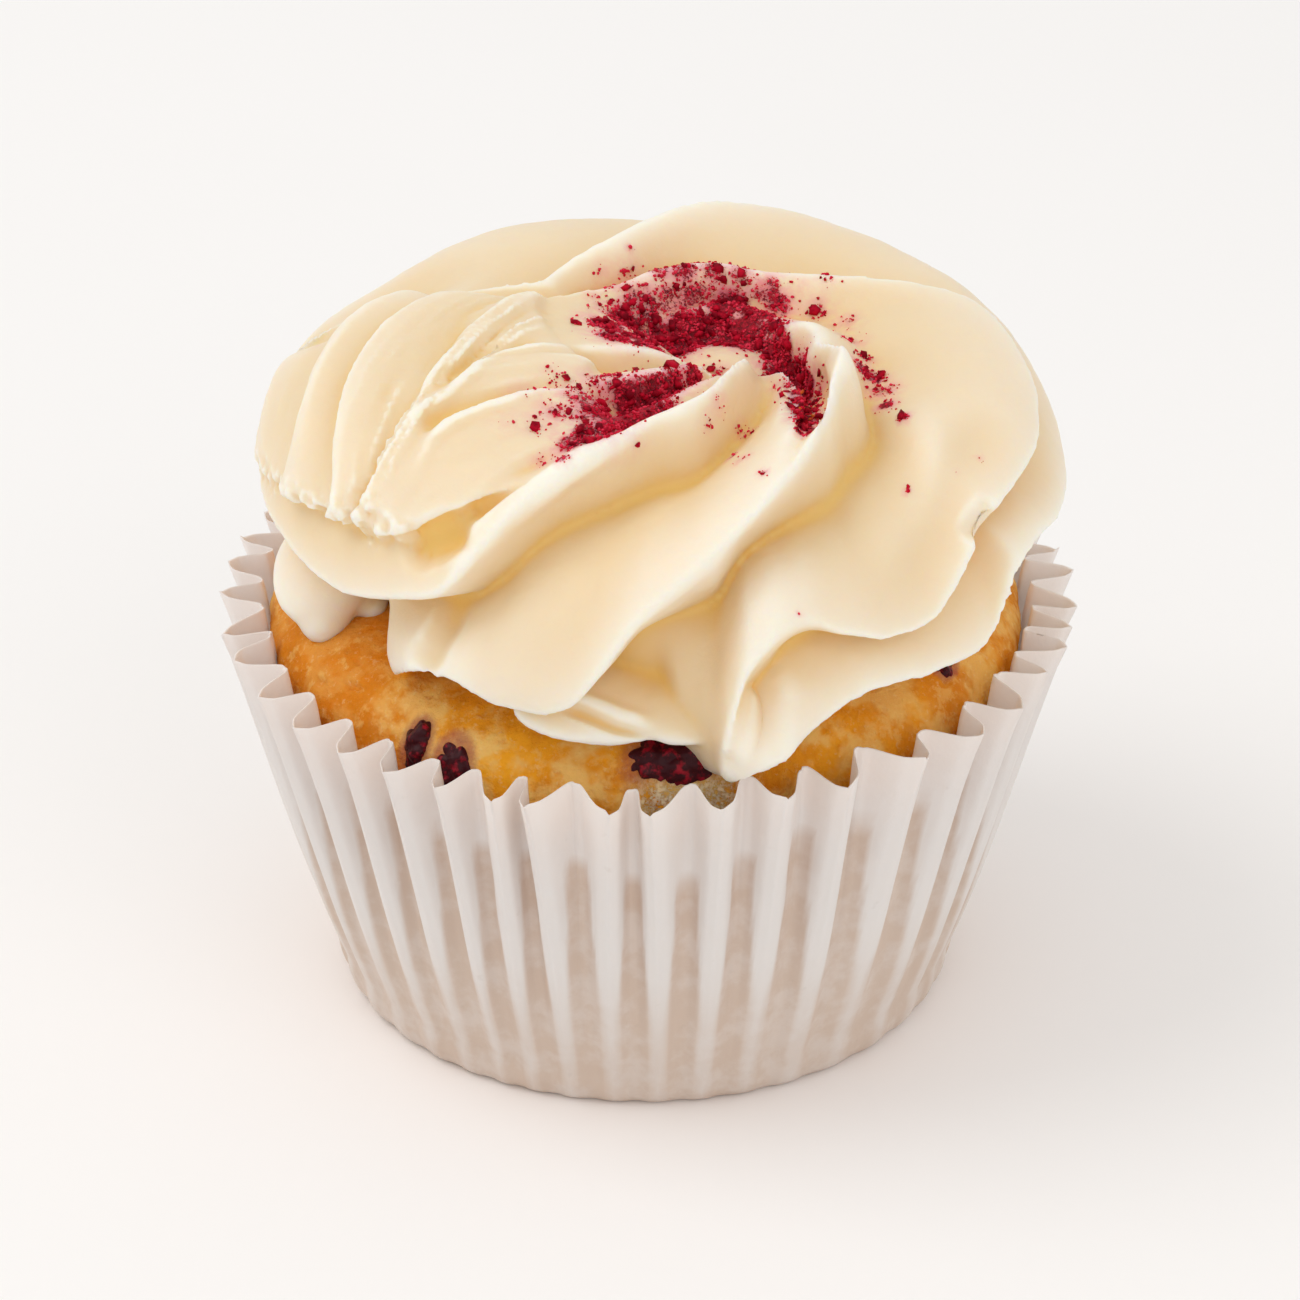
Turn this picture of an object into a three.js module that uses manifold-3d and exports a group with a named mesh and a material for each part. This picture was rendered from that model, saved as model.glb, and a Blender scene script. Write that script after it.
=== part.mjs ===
// A raspberry cupcake in a pleated paper case, topped with a piped buttercream swirl that is
// dusted with flakes of freeze-dried raspberry. Millimetres, +Z up, the front is -Y.
// The origin is the middle of the underside. Azimuths are degrees anticlockwise from +X,
// seen from above.
import * as THREE from "three";
import { mergeVertices } from "three/addons/utils/BufferGeometryUtils.js";
import Module from "manifold-3d";

const wasm = await Module();
wasm.setup();

// ---- Driving dimensions ----

const GAP = 0.3; // clearance that touching pieces keep

const CASE = {
  baseRadius: 25, // the flat disc that the case stands on
  cornerHeight: 4, // where the rounded foot turns into the wall
  footRadius: 26.9, // middle of the pleats at the top of the rounded foot
  rimRadius: 34.75, // middle of the pleats at the rim
  height: 35,
  bulge: 0.9, // how far the wall swells out between the foot and the rim
  thickness: 0.4,
  pleats: 44,
  rimDepth: 1.85, // half the distance between an inner and an outer fold at the rim
  footDepth: 0.3, // the same at the foot
  unevenness: 0.22, // share by which a pleat's depth and height differ
  innerNarrowness: 3.2, // how much narrower the inner folds are than the outer ones
  deepening: 1.6, // 1 would make the pleats deepen evenly from the foot to the rim
  footRow: 0.35, // where faces meet on the rounded foot, as a share of its height
  middleRow: 0.5, // the same on the wall, as a share of the whole height
  // Degrees by which folds are shifted, at each azimuth they would have if evenly spaced.
  shift: [
    [-180, 0], [-151.4, 4.9], [-143.2, 6.3], [-126.8, 6.2], [-118.6, 4.4], [-102.3, 2.6],
    [-77.7, 2.2], [-61.4, 3.8], [-53.2, 6.4], [-45, 8.3], [-36.8, 9.7], [0, 6], [90, 0], [180, 0],
  ],
};
const PLEAT_STEPS = [0, 0.3, 0.5, 0.7]; // where a pleat's faces meet, between two outer folds

const SPONGE = {
  edgeSide: 33.2, // height where the sponge leaves the paper at the sides and back
  edgeFront: 29.5, // and at the front, where it rose less
  crown: 38.5, // top of the dome, hidden under the icing
  crownDrop: 0.6, // from there to where the shoulder starts
  shoulder: 0.3, // share of the radius over which the dome's edge curves down
  shoulderFullness: 2.6, // 2 is a quarter of an ellipse, more is fuller
  pressed: 0.7, // share of the pleats' depth at which it meets the inner folds
  frontWidth: 1.5, // more makes the low part of the edge at the front narrower
  footInset: 1.5, // how far its flat underside stays inside the case's
  wallRows: [0, 0.12, 0.5, 1], // shares of the wall's height where its faces meet
  capRows: [0.985, 0.95, 0.88, 0.78, 0.6], // the same for the top, as shares of the radius
  steps: 44, // round the axis
};

// Pieces of raspberry baked into the sponge: azimuth, distance from the middle, half sizes
// round the edge, up the slope and into the crumb.
const BERRIES = {
  raspberry_left_upper: { azimuth: -127.5, radius: 30.9, half: [1.5, 1.9, 1.4] },
  raspberry_left_lower: { azimuth: -120, radius: 31.2, half: [1.7, 1.7, 1.3] },
  raspberry_front: { azimuth: -85, radius: 30.0, half: [4.4, 2.2, 2.0] },
  raspberry_right: { azimuth: -31.5, radius: 29.2, half: [1.5, 0.9, 1.1] },
};
const BERRY = {
  bumps: 0.14, // how far the drupelets stand out, as a share of the size
  waves: [5.1, 4.7, 4.3], // how closely the drupelets lie along each half size
  sunk: 0.75, // share of the inward half size by which a piece lies below the surface
  slopeRun: 0.03, // share of the sponge's radius over which the slope under it is taken
};

// The swirl is a thick rope of icing laid in a ring round an off-centre hollow.
const SWIRL = {
  hollow: [6.5, 1.5], // where the middle of the ring is
  hollowRadius: 1.2,
  outlineMiddle: [1.9, 0.3],
  outlineRadius: 32.6,
  middleHeight: 46.5, // of the rope's section
  underHalfHeight: 14, // from there to the plain rope's underside
  // The same for its upper side, at azimuths round the hollow.
  halfHeight: [
    [-180, 14.2], [-90, 14], [-45, 13.7], [0, 13.2], [30, 12.7], [60, 12.9], [95, 14],
    [125, 14.1], [150, 13.5], [180, 14.2],
  ],
  underSquareness: 1.7, // of the section's lower half: 2 is an ellipse, more is boxier
  // The same for its upper half, at azimuths round the hollow.
  squareness: [
    [-180, 2.9], [-135, 2.6], [-90, 2.3], [-45, 2.6], [0, 2.8], [30, 2.8], [60, 2.7], [95, 2.1],
    [125, 2.2], [150, 2.1], [180, 2.9],
  ],
  lean: 0.3, // how far a crest hangs over its valley, as a share of its drop
  crestShare: 0.38, // part of the drop that stands above the plain rope
  dropShare: 0.1, // part of the faces between two crests that the steep side takes
  steep: 9, // degrees round the section that the steep side takes, where a ridge says no other
  steepMost: 0.38, // the most of the way to the next crest that it may take
  riseEvenness: 0.35, // 1 is an even rise from a valley to the next crest, 0 a gentle wave
  spot: 0.75, // where a groove lies between two crests, where a ridge says no other
  grooveEnd: 1.02, // where a groove has faded out, 1 being the crest
  grooveNarrowness: 1.7,
};

// Ridges that the star nozzle left on the rope. "turn" says where the crest is round the
// section, in degrees up from the outer side, at each azimuth round the hollow, and "drop"
// how deep the steep outer side of the ridge is there, in mm. Where a ridge hangs down or stands
// out further than that makes it, "sag" and "swell" say by how much. "groove" is the depth of a
// groove on the side from which the icing rises to the crest, "spot" how far up that side it
// lies, and "steep" the degrees that the steep side takes.
const RIDGES = [
  {
    // comes out at the left as a long lip and climbs over the front left
    turn: [
      [-180, 5], [-163, 11], [-144, 8], [-138, 11], [-133, 15], [-127, 20], [-123, 32], [-119, 48],
      [-115, 59], [-110, 69], [-104, 80], [-97, 88], [-92, 98], [-86, 111], [-60, 146], [0, 170],
      [180, 202],
    ],
    drop: [
      [-180, 3], [-165, 5], [-141, 6], [-121, 6.5], [-99, 6], [-80, 4], [-55, 1], [0, 0], [180, 0],
    ],
    groove: [[-135, 0], [-118, 1.2], [-100, 2], [-85, 1.5], [-60, 0]],
    steep: [[-125, 9], [-105, 18], [-80, 26], [0, 20]],
  },
  {
    // the tongue at the front and the tall ridge right of the hollow
    turn: [
      [-180, -50], [-165, -40], [-151, -36], [-143, -32], [-137, -20], [-132, -11], [-125, -7],
      [-120, -11], [-115, -11], [-110, -7], [-105, 8], [-101, 22], [-95, 34], [-83, 54], [-70, 77],
      [-63, 87], [-53, 96], [-41, 115], [0, 124], [34, 130], [76, 128], [130, 134], [180, 150],
    ],
    drop: [
      [-180, 2], [-163, 4], [-151, 4.5], [-143, 4], [-133, 5.5], [-112, 7.5], [-75, 7.5], [-56, 7],
      [-41, 5], [-20, 4], [3, 3], [78, 2], [130, 1], [180, 0],
    ],
    swell: [
      [-180, 0], [-165, -5], [-149, -5], [-141, 0], [-75, 0], [-62, 0.8], [-56, 1.4], [-49, 0.2],
      [-40, -0.6], [-20, -0.6], [0, 0],
    ],
    groove: [
      [-82, 0], [-72, 2], [-64, 4.2], [-55, 5.5], [-40, 5.5], [-20, 4.5], [20, 1.5], [60, 0],
    ],
    spot: [[-80, 0.95], [-70, 0.88], [-66, 0.76], [-60, 0.66], [-52, 0.54], [-40, 0.48], [0, 0.45]],
    steep: [[-112, 8], [-104, 11], [-98, 19], [-91, 23], [-81, 27], [-40, 26], [0, 18]],
  },
  {
    // the tongue at the front right, which goes on round the right side and the back
    turn: [
      [-180, -110], [-120, -56], [-105, -46], [-97, -38], [-92, -24], [-89.5, 0], [-87, 17],
      [-83, 21], [-79, 19], [-74, 12], [-67, 5], [-61, 6], [-56, 14], [-51, 25], [-47, 31],
      [-39, 34], [-28, 38], [-19, 44], [-2, 54], [17, 62], [30, 81], [44, 101], [80, 116],
      [131, 117], [180, 98],
    ],
    drop: [
      [-180, 1], [-112, 2], [-98, 2], [-93, 0.8], [-88, 0.8], [-84, 2.4], [-79, 3.8], [-74, 4.6],
      [-64, 5], [-51, 5.5], [-41, 5], [-17, 4], [1, 3.5], [30, 3.2], [82, 3.5], [131, 3],
      [180, 0.5],
    ],
    sag: [[-106, 0], [-97, 2.5], [-91, 6], [-86, 3.8], [-79, 1], [-70, 0]],
    swell: [
      [-120, -3], [-101, -3.4], [-96.5, 0.9], [-91, 2.6], [-86, 2], [-80, 0.6], [-75, 0], [-30, 0],
      [0, -0.6], [60, -0.6], [90, 0],
    ],
    groove: [[-70, 0], [-56, 1], [-44, 1.2], [-30, 0]],
    steep: [[-98, 9], [-88, 20], [-60, 18], [-40, 12], [0, 10]],
  },
  {
    // the lower edge at the right, which becomes the crest along the back
    turn: [
      [-180, -158], [-100, -66], [-96, -56], [-92, -38], [-90, -26], [-86, -20], [-82, -18],
      [-78, -17], [-74, -14], [-68, -11], [-54, -13], [-47, -11], [-44, 0], [-41, 11], [-34, 14],
      [-20, 12], [0, 12], [26, 24], [50, 40], [82, 70], [112, 96], [131, 103], [158, 102],
      [170, 84], [180, 48],
    ],
    drop: [
      [-180, 1], [-84, 3], [-74, 6], [-50, 6], [-34, 5], [0, 4], [50, 4], [82, 5], [138, 4.5],
      [180, 1],
    ],
    sag: [[-100, 0], [-94, 5], [-90, 4.2], [-86, 3.4], [-82, 2.2], [-77, 0.5], [-72, 0]],
    swell: [
      [-96, 0], [-91, 3], [-88, 3.8], [-83, 3.8], [-79, 2], [-75, 0.5], [-72, 0], [-30, 0],
      [0, -1], [60, -0.8], [100, 0],
    ],
  },
  {
    turn: [
      [-180, -210], [-100, -135], [-60, -98], [0, -52], [50, -18], [82, 10], [106, 28], [138, 40],
      [158, 36], [180, 5],
    ],
    drop: [[-180, 0], [-60, 1], [0, 3], [82, 4], [138, 4], [180, 3]],
  },
  {
    turn: [
      [-180, -262], [-152, -262], [-143, -249], [-130, -228], [-110, -200], [-90, -176], [0, -102],
      [82, -52], [138, -40], [180, -50],
    ],
    drop: [[-180, 0.5], [-150, 2.5], [-120, 2.5], [-80, 0.5], [0, 1], [82, 3], [180, 2]],
  },
  {
    turn: [
      [-180, -312], [-150, -297], [-138, -281], [-130, -272], [-122, -263], [-112, -249],
      [-99, -222], [-60, -180], [0, -148], [82, -108], [138, -98], [180, -110],
    ],
    drop: [[-180, 1], [-138, 3], [-120, 3], [-99, 2], [-60, 0.5], [0, 0], [180, 1]],
  },
];
// After one time round, each ridge runs on as the one that many places before it.
const RIDGES_PER_ROUND = 4;

// The end of the rope, pressed flat over the swirl at the left, where the nozzle was pulled
// off. Its ridges fan out from the torn edge. For each, the azimuth and turn on the rope of
// its foot at the torn edge, of its middle and of its far end, which is sunk in the swirl.
// "share" is its share of the tail's thickness and "valley" the depth of the valley after it.
const TAIL = {
  ridges: [
    { foot: [229.5, 26], middle: [226, 51], end: [249, 88], share: 0.95, valley: 1.1 },
    { foot: [226.5, 26], middle: [218.5, 70], end: [238, 106], share: 1, valley: 0.6 },
    { foot: [224, 25], middle: [216, 75], end: [182, 107], share: 0.9, valley: 1.2 },
    { foot: [221, 24], middle: [209, 74], end: [158, 106], share: 1.05, valley: 3.2 },
    { foot: [217, 24], middle: [204, 50], end: [166, 88], share: 1.2, valley: 2.6 },
    { foot: [206, 20], middle: [196, 45], end: [162, 70], share: 1.1, valley: 2.2 },
    { foot: [188, 13], middle: [179, 29], end: [158, 46], share: 0.6, valley: 1 },
  ],
  thickness: [[0, 4], [0.6, 2.6], [0.88, 1.6], [1, -3]], // from the torn edge to the end
  depth: [[0, 0.6], [0.5, 1], [1, 0.3]], // share of a valley's depth, from edge to end
  under: 5, // how far its hidden side lies inside the swirl
  across: [0, 0.2, 0.55, 0.8], // where the faces of one ridge meet
  rows: 9,
  crowding: 1.3, // more puts more of the rows near the torn edge
  tear: 2.2, // how uneven the torn edge is, in degrees of turn
  tearLength: 4, // more keeps the tears nearer to the edge
};

// Lobes of the first layer of icing that show below the swirl: middle, half sizes, tilt about
// X and yaw about Z.
const FOLDS = [
  { middle: [-26.8, -6.4, 39.4], half: [4.3, 6.2, 3.3], tilt: 27, yaw: -8 },
  { middle: [-22.8, -8, 37.9], half: [1.3, 1.7, 1.3], tilt: 0, yaw: 0 },
  { middle: [-2.5, -23.2, 38.4], half: [7, 5.2, 1.5], tilt: 0, yaw: -6 },
  { middle: [1.5, -22.6, 40.6], half: [6.4, 5.8, 3], tilt: 0, yaw: -14 },
];

// The floor of the hollow.
const PLUG = { half: [10, 9, 10.5], middleHeight: 46.5 };

// Flakes of freeze-dried raspberry, thickest round the hollow.
const FLAKES = {
  count: 60,
  middle: [3.5, -1.5], // of the dusted patch, in plan
  spread: 11,
  size: [0.35, 0.85], // half lengths
  crowding: 0.7, // 0.5 would spread them evenly, more gathers them in the middle
  fineness: 2, // more makes small ones more common
  narrowest: 0.6, // the least width, as a share of the length
  flatness: 0.55, // thickness as a share of the length
  sunk: 0.35, // how far the middle of a flake stands out, as a share of half its thickness
};

const ICING_ROWS = 84; // round the ring
const PANEL_COLUMNS = [0, SWIRL.dropShare, 0.4, 0.65, 0.85]; // where a ridge's faces meet
const FRONT_CROWDING = 24; // degrees by which rows are shifted to lie closer at the front
const TEAR_STEPS = 4; // tears per ridge of the tail
const BALL_STEPS = [12, 8]; // round and up a lobe
const SKY = 100; // height above everything

// ---- Small tools ----

const rad = THREE.MathUtils.degToRad;

// A number between 0 and 1 that depends only on n, for unevenness that never changes.
function scatter(n) {
  const s = Math.sin(n * 127.1 + 311.7) * 43758.5453;
  return s - Math.floor(s);
}

// A smooth run through knots [x, y], flat outside them and never past a knot's value.
function along(knots, x) {
  const last = knots.length - 1;
  if (x <= knots[0][0]) return knots[0][1];
  if (x >= knots[last][0]) return knots[last][1];
  let i = 0;
  while (x > knots[i + 1][0]) i++;
  const slope = (j) => (knots[j + 1][1] - knots[j][1]) / (knots[j + 1][0] - knots[j][0]);
  const tangent = (j) => {
    if (j === 0) return slope(0);
    if (j === last) return slope(last - 1);
    const before = slope(j - 1);
    const after = slope(j);
    return before * after <= 0 ? 0 : (2 * before * after) / (before + after);
  };
  const width = knots[i + 1][0] - knots[i][0];
  const t = (x - knots[i][0]) / width;
  const start = knots[i][1] * (1 + 2 * t) * (1 - t) ** 2 + tangent(i) * width * t * (1 - t) ** 2;
  const end = knots[i + 1][1] * t * t * (3 - 2 * t) - tangent(i + 1) * width * t * t * (1 - t);
  return start + end;
}

function positionsOnly(geometry) {
  const plain = new THREE.BufferGeometry();
  plain.setAttribute("position", geometry.getAttribute("position").clone());
  if (geometry.index) plain.setIndex(geometry.index.clone());
  return plain;
}

// A closed geometry as a manifold-3d solid, turned inside out if its faces pointed inwards.
function solid(geometry) {
  const merged = mergeVertices(positionsOnly(geometry), 1e-4);
  const triVerts = new Uint32Array(merged.index.array);
  const made = (tris) =>
    new wasm.Manifold(
      new wasm.Mesh({
        numProp: 3,
        vertProperties: merged.attributes.position.array,
        triVerts: tris,
      }),
    );
  const body = made(triVerts);
  if (body.volume() >= 0) return body;
  for (let i = 0; i < triVerts.length; i += 3) {
    [triVerts[i + 1], triVerts[i + 2]] = [triVerts[i + 2], triVerts[i + 1]];
  }
  return made(triVerts);
}

function geometryOf(body) {
  const mesh = body.getMesh();
  const geometry = new THREE.BufferGeometry();
  geometry.setAttribute("position", new THREE.BufferAttribute(mesh.vertProperties, 3));
  geometry.setIndex(new THREE.BufferAttribute(mesh.triVerts, 1));
  geometry.computeVertexNormals();
  return geometry;
}

// Moves every vertex of a geometry to what place(vertex) returns.
function reshape(geometry, place) {
  const position = geometry.getAttribute("position");
  const vertex = new THREE.Vector3();
  for (let i = 0; i < position.count; i++) {
    vertex.fromBufferAttribute(position, i);
    const [x, y, z] = place(vertex, i);
    position.setXYZ(i, x, y, z);
  }
  return geometry;
}

// ---- The paper case ----

// Middle of the pleats at a height.
function wallRadius(z) {
  if (z < CASE.cornerHeight) {
    const t = z / CASE.cornerHeight;
    return CASE.baseRadius + (CASE.footRadius - CASE.baseRadius) * Math.sqrt(t * (2 - t));
  }
  const t = (z - CASE.cornerHeight) / (CASE.height - CASE.cornerHeight);
  const straight = CASE.footRadius + (CASE.rimRadius - CASE.footRadius) * t;
  return straight + CASE.bulge * 4 * t * (1 - t) * (1 - t);
}

// Half the depth of the pleats at a height.
function pleatDepth(z) {
  const t = THREE.MathUtils.clamp(z / CASE.height, 0, 1);
  return CASE.footDepth + (CASE.rimDepth - CASE.footDepth) * t ** CASE.deepening;
}

// The paper's radius at a place round the case, where pleat is a count with fractions and
// whole numbers are outer folds, which are wider than the inner ones.
function paperRadius(pleat, z) {
  const own = scatter(Math.round(pleat)) - 0.5;
  const towardsInner = Math.sin(Math.PI * (pleat - Math.floor(pleat)));
  const wave = 1 - 2 * towardsInner ** CASE.innerNarrowness;
  return wallRadius(z) + pleatDepth(z) * wave * (1 + CASE.unevenness * own);
}

function paperCase() {
  const perPleat = PLEAT_STEPS.length;
  const steps = CASE.pleats * perPleat;
  const wall = [
    CASE.footRow * CASE.cornerHeight,
    CASE.cornerHeight,
    CASE.middleRow * CASE.height,
    CASE.height,
  ];
  // The profile runs up the outside and down the inside, and both ends are on the axis.
  const rows = [
    { z: 0, inset: 0 },
    ...wall.map((z) => ({ z, inset: 0 })),
    ...wall.slice(1).reverse().map((z) => ({ z, inset: CASE.thickness })),
    { z: CASE.thickness, inset: CASE.thickness },
  ];
  const profile = [new THREE.Vector2(0, 0)];
  rows.forEach((row, i) => profile.push(new THREE.Vector2(i + 1, row.z)));
  profile.push(new THREE.Vector2(0, CASE.thickness));
  const lathe = new THREE.LatheGeometry(profile, steps);
  return reshape(lathe, (_, i) => {
    const step = Math.floor(i / profile.length) % steps;
    const row = rows[(i % profile.length) - 1];
    if (!row) return [0, 0, i % profile.length === 0 ? 0 : CASE.thickness];
    const pleat = Math.floor(step / perPleat) + PLEAT_STEPS[step % perPleat];
    const onFloor = row.z <= CASE.thickness;
    const radius = (onFloor ? CASE.baseRadius : paperRadius(pleat, row.z)) - row.inset;
    const even = (360 * pleat) / CASE.pleats;
    const azimuth = even > 180 ? even - 360 : even;
    const angle = rad(azimuth + along(CASE.shift, azimuth));
    const atRim = row.z === CASE.height ? CASE.unevenness * (2 * scatter(pleat + 7) - 1) : 0;
    return [radius * Math.cos(angle), radius * Math.sin(angle), row.z + atRim];
  });
}

// ---- The sponge ----

function spongeEdge(azimuth) {
  const front = Math.max(0, Math.cos(azimuth + Math.PI / 2));
  return SPONGE.edgeSide + (SPONGE.edgeFront - SPONGE.edgeSide) * front ** SPONGE.frontWidth;
}

// The radius that the sponge fills: it touches the inner folds of the paper.
function spongeRadius(z) {
  const innerFold = wallRadius(z) - pleatDepth(z) * (SPONGE.pressed + CASE.unevenness);
  return innerFold - CASE.thickness - GAP;
}

// Height of the sponge's top at an azimuth, where share is 0 in the middle and 1 at the edge.
function spongeTop(azimuth, share) {
  const edge = spongeEdge(azimuth);
  const flat = 1 - SPONGE.shoulder;
  if (share < flat) return SPONGE.crown - SPONGE.crownDrop * (share / flat) ** 2;
  const t = Math.min(1, (share - flat) / SPONGE.shoulder);
  const rise = SPONGE.crown - SPONGE.crownDrop - edge;
  return edge + rise * Math.sqrt(1 - t ** SPONGE.shoulderFullness);
}

function sponge(grow = 0) {
  const { steps, wallRows, capRows } = SPONGE;
  const floor = CASE.thickness + GAP - grow;
  const profile = [new THREE.Vector2(0, 0)];
  wallRows.forEach((t) => profile.push(new THREE.Vector2(1, t)));
  capRows.forEach((t) => profile.push(new THREE.Vector2(t, 1)));
  profile.push(new THREE.Vector2(0, 1));
  const lathe = new THREE.LatheGeometry(profile, steps);
  const perStep = profile.length;
  return reshape(lathe, (_, i) => {
    const angle = (2 * Math.PI * (Math.floor(i / perStep) % steps)) / steps;
    const row = i % perStep;
    if (row === 0) return [0, 0, floor];
    if (row === perStep - 1) return [0, 0, SPONGE.crown + grow];
    if (row <= wallRows.length) {
      const z = floor + (spongeEdge(angle) + grow - floor) * wallRows[row - 1];
      const foot = CASE.baseRadius - SPONGE.footInset;
      const radius = (row === 1 ? foot : spongeRadius(z)) + grow;
      return [radius * Math.cos(angle), radius * Math.sin(angle), z];
    }
    const share = capRows[row - 1 - wallRows.length];
    const radius = (spongeRadius(spongeEdge(angle)) + grow) * share;
    return [radius * Math.cos(angle), radius * Math.sin(angle), spongeTop(angle, share) + grow];
  });
}

// ---- Raspberry pieces in the sponge ----

function berry({ azimuth, radius, half }, grow = 0) {
  const ball = new THREE.IcosahedronGeometry(1, 1);
  const angle = rad(azimuth);
  const edgeRadius = spongeRadius(spongeEdge(angle));
  const share = radius / edgeRadius;
  const height = spongeTop(angle, share);
  const lower = spongeTop(angle, Math.min(1, share + BERRY.slopeRun));
  const slope = Math.atan2(height - lower, BERRY.slopeRun * edgeRadius);
  const turn = new THREE.Matrix4()
    .makeTranslation(radius * Math.cos(angle), radius * Math.sin(angle), height)
    .multiply(new THREE.Matrix4().makeRotationZ(angle - Math.PI / 2))
    .multiply(new THREE.Matrix4().makeRotationX(-slope));
  const point = new THREE.Vector3();
  return reshape(ball, (vertex) => {
    const bumps =
      1 +
      BERRY.bumps *
        Math.sin(vertex.x * BERRY.waves[0] + radius) *
        Math.sin(vertex.y * BERRY.waves[1] + azimuth) *
        Math.cos(vertex.z * BERRY.waves[2]);
    point
      .set(
        vertex.x * (half[0] * bumps + grow),
        vertex.y * (half[1] * bumps + grow),
        vertex.z * (half[2] * bumps + grow) - half[2] * BERRY.sunk,
      )
      .applyMatrix4(turn);
    return [point.x, point.y, point.z];
  });
}

// ---- The icing ----

// Distance from the hollow to the outline of the plain rope.
function reach(angle) {
  const [hx, hy] = SWIRL.hollow;
  const [ox, oy] = SWIRL.outlineMiddle;
  const ahead = (hx - ox) * Math.cos(angle) + (hy - oy) * Math.sin(angle);
  const inside = SWIRL.outlineRadius ** 2 - (hx - ox) ** 2 - (hy - oy) ** 2;
  return -ahead + Math.sqrt(ahead ** 2 + inside);
}

// A point on the plain rope: azimuth round the hollow, turn up from the outer side, both in
// degrees, raised by "out" away from the middle of the section and slid by "down" round it.
function onRope(azimuth, turn, out = 0, down = 0) {
  const angle = rad(azimuth);
  const outer = reach(angle);
  const half = (outer - SWIRL.hollowRadius) / 2;
  const middle = (outer + SWIRL.hollowRadius) / 2;
  const c = Math.cos(rad(turn));
  const s = Math.sin(rad(turn));
  const place = azimuth > 180 ? azimuth - 360 : azimuth;
  const n = s > 0 ? along(SWIRL.squareness, place) : SWIRL.underSquareness;
  const k = (Math.abs(c) ** n + Math.abs(s) ** n) ** (-1 / n);
  const height = s > 0 ? along(SWIRL.halfHeight, place) : SWIRL.underHalfHeight;
  const r = middle + half * c * k + out * c + down * s;
  const z = SWIRL.middleHeight + height * s * k + out * s - down * c;
  return [
    SWIRL.hollow[0] + r * Math.cos(angle),
    SWIRL.hollow[1] + r * Math.sin(angle),
    z,
  ];
}

// What a ridge is at an azimuth, by its number, which may run past the list on either side.
function ridgeAt(number, azimuth) {
  const count = RIDGES.length;
  const index = ((number % count) + count) % count;
  const rounds = (number - index) / count;
  const ridge = RIDGES[index];
  const own = (key, plain) => (ridge[key] ? along(ridge[key], azimuth) : plain);
  return {
    turn: along(ridge.turn, azimuth) - 360 * rounds,
    drop: along(ridge.drop, azimuth),
    sag: own("sag", 0),
    swell: own("swell", 0),
    groove: own("groove", 0),
    spot: own("spot", SWIRL.spot),
    steep: own("steep", SWIRL.steep),
  };
}

// The swirl's surface. "place" counts ridges: whole numbers are crests.
function onSwirl(azimuth, place) {
  const number = Math.floor(place);
  const share = place - number;
  const crest = ridgeAt(number, azimuth);
  const next = ridgeAt(number + 1, azimuth);
  const span = crest.turn - next.turn;
  const steep = Math.min(crest.steep, SWIRL.steepMost * span);
  const hanging = Math.min(crest.sag, next.sag);
  const up = SWIRL.crestShare;
  if (share < SWIRL.dropShare) {
    const t = share / SWIRL.dropShare;
    const out = crest.drop * (up - (3 - 2 * t) * t * t) + crest.swell * (1 - t);
    const hang = (SWIRL.lean * crest.drop + crest.sag) * (1 - t) + hanging * t;
    return onRope(azimuth, crest.turn - steep * t, out, hang);
  }
  const t = (share - SWIRL.dropShare) / (1 - SWIRL.dropShare);
  const rise = THREE.MathUtils.lerp(t * t * (3 - 2 * t), t, SWIRL.riseEvenness);
  const fromSpot = ((t - next.spot) / (SWIRL.grooveEnd - next.spot)) * SWIRL.grooveNarrowness;
  const out =
    crest.drop * (up - 1) * (1 - rise) +
    (next.drop * up + next.swell) * rise -
    next.groove * Math.exp(-(fromSpot ** 2));
  const hang = (SWIRL.lean * next.drop + next.sag) * t ** 3 + hanging * (1 - t ** 3);
  const turn = crest.turn - steep - (span - steep) * t;
  return onRope(azimuth, turn, out, hang);
}

// Azimuth of a row: closer together at the front, where the ridges climb.
function rowAzimuth(share) {
  return -180 + 360 * share + FRONT_CROWDING * Math.sin(2 * Math.PI * share) * (1 - share);
}

function swirl() {
  const perRidge = PANEL_COLUMNS.length;
  const columns = RIDGES.length * perRidge;
  const torus = new THREE.TorusGeometry(2, 1, columns, ICING_ROWS);
  return reshape(torus, (_, i) => {
    const row = i % (ICING_ROWS + 1);
    const column = Math.floor(i / (ICING_ROWS + 1)) % columns;
    const atSeam = row === ICING_ROWS;
    const ridge = Math.floor(column / perRidge) - (atSeam ? RIDGES_PER_ROUND : 0);
    const azimuth = atSeam ? -180 : rowAzimuth(row / ICING_ROWS);
    return onSwirl(azimuth, ridge + PANEL_COLUMNS[column % perRidge]);
  });
}

// A point on a curve through three [azimuth, turn] places.
function throughThree({ foot, middle, end }, t) {
  return [0, 1].map((axis) => {
    const pull = 2 * middle[axis] - (foot[axis] + end[axis]) / 2;
    return foot[axis] * (1 - t) ** 2 + 2 * pull * t * (1 - t) + end[axis] * t * t;
  });
}

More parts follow.
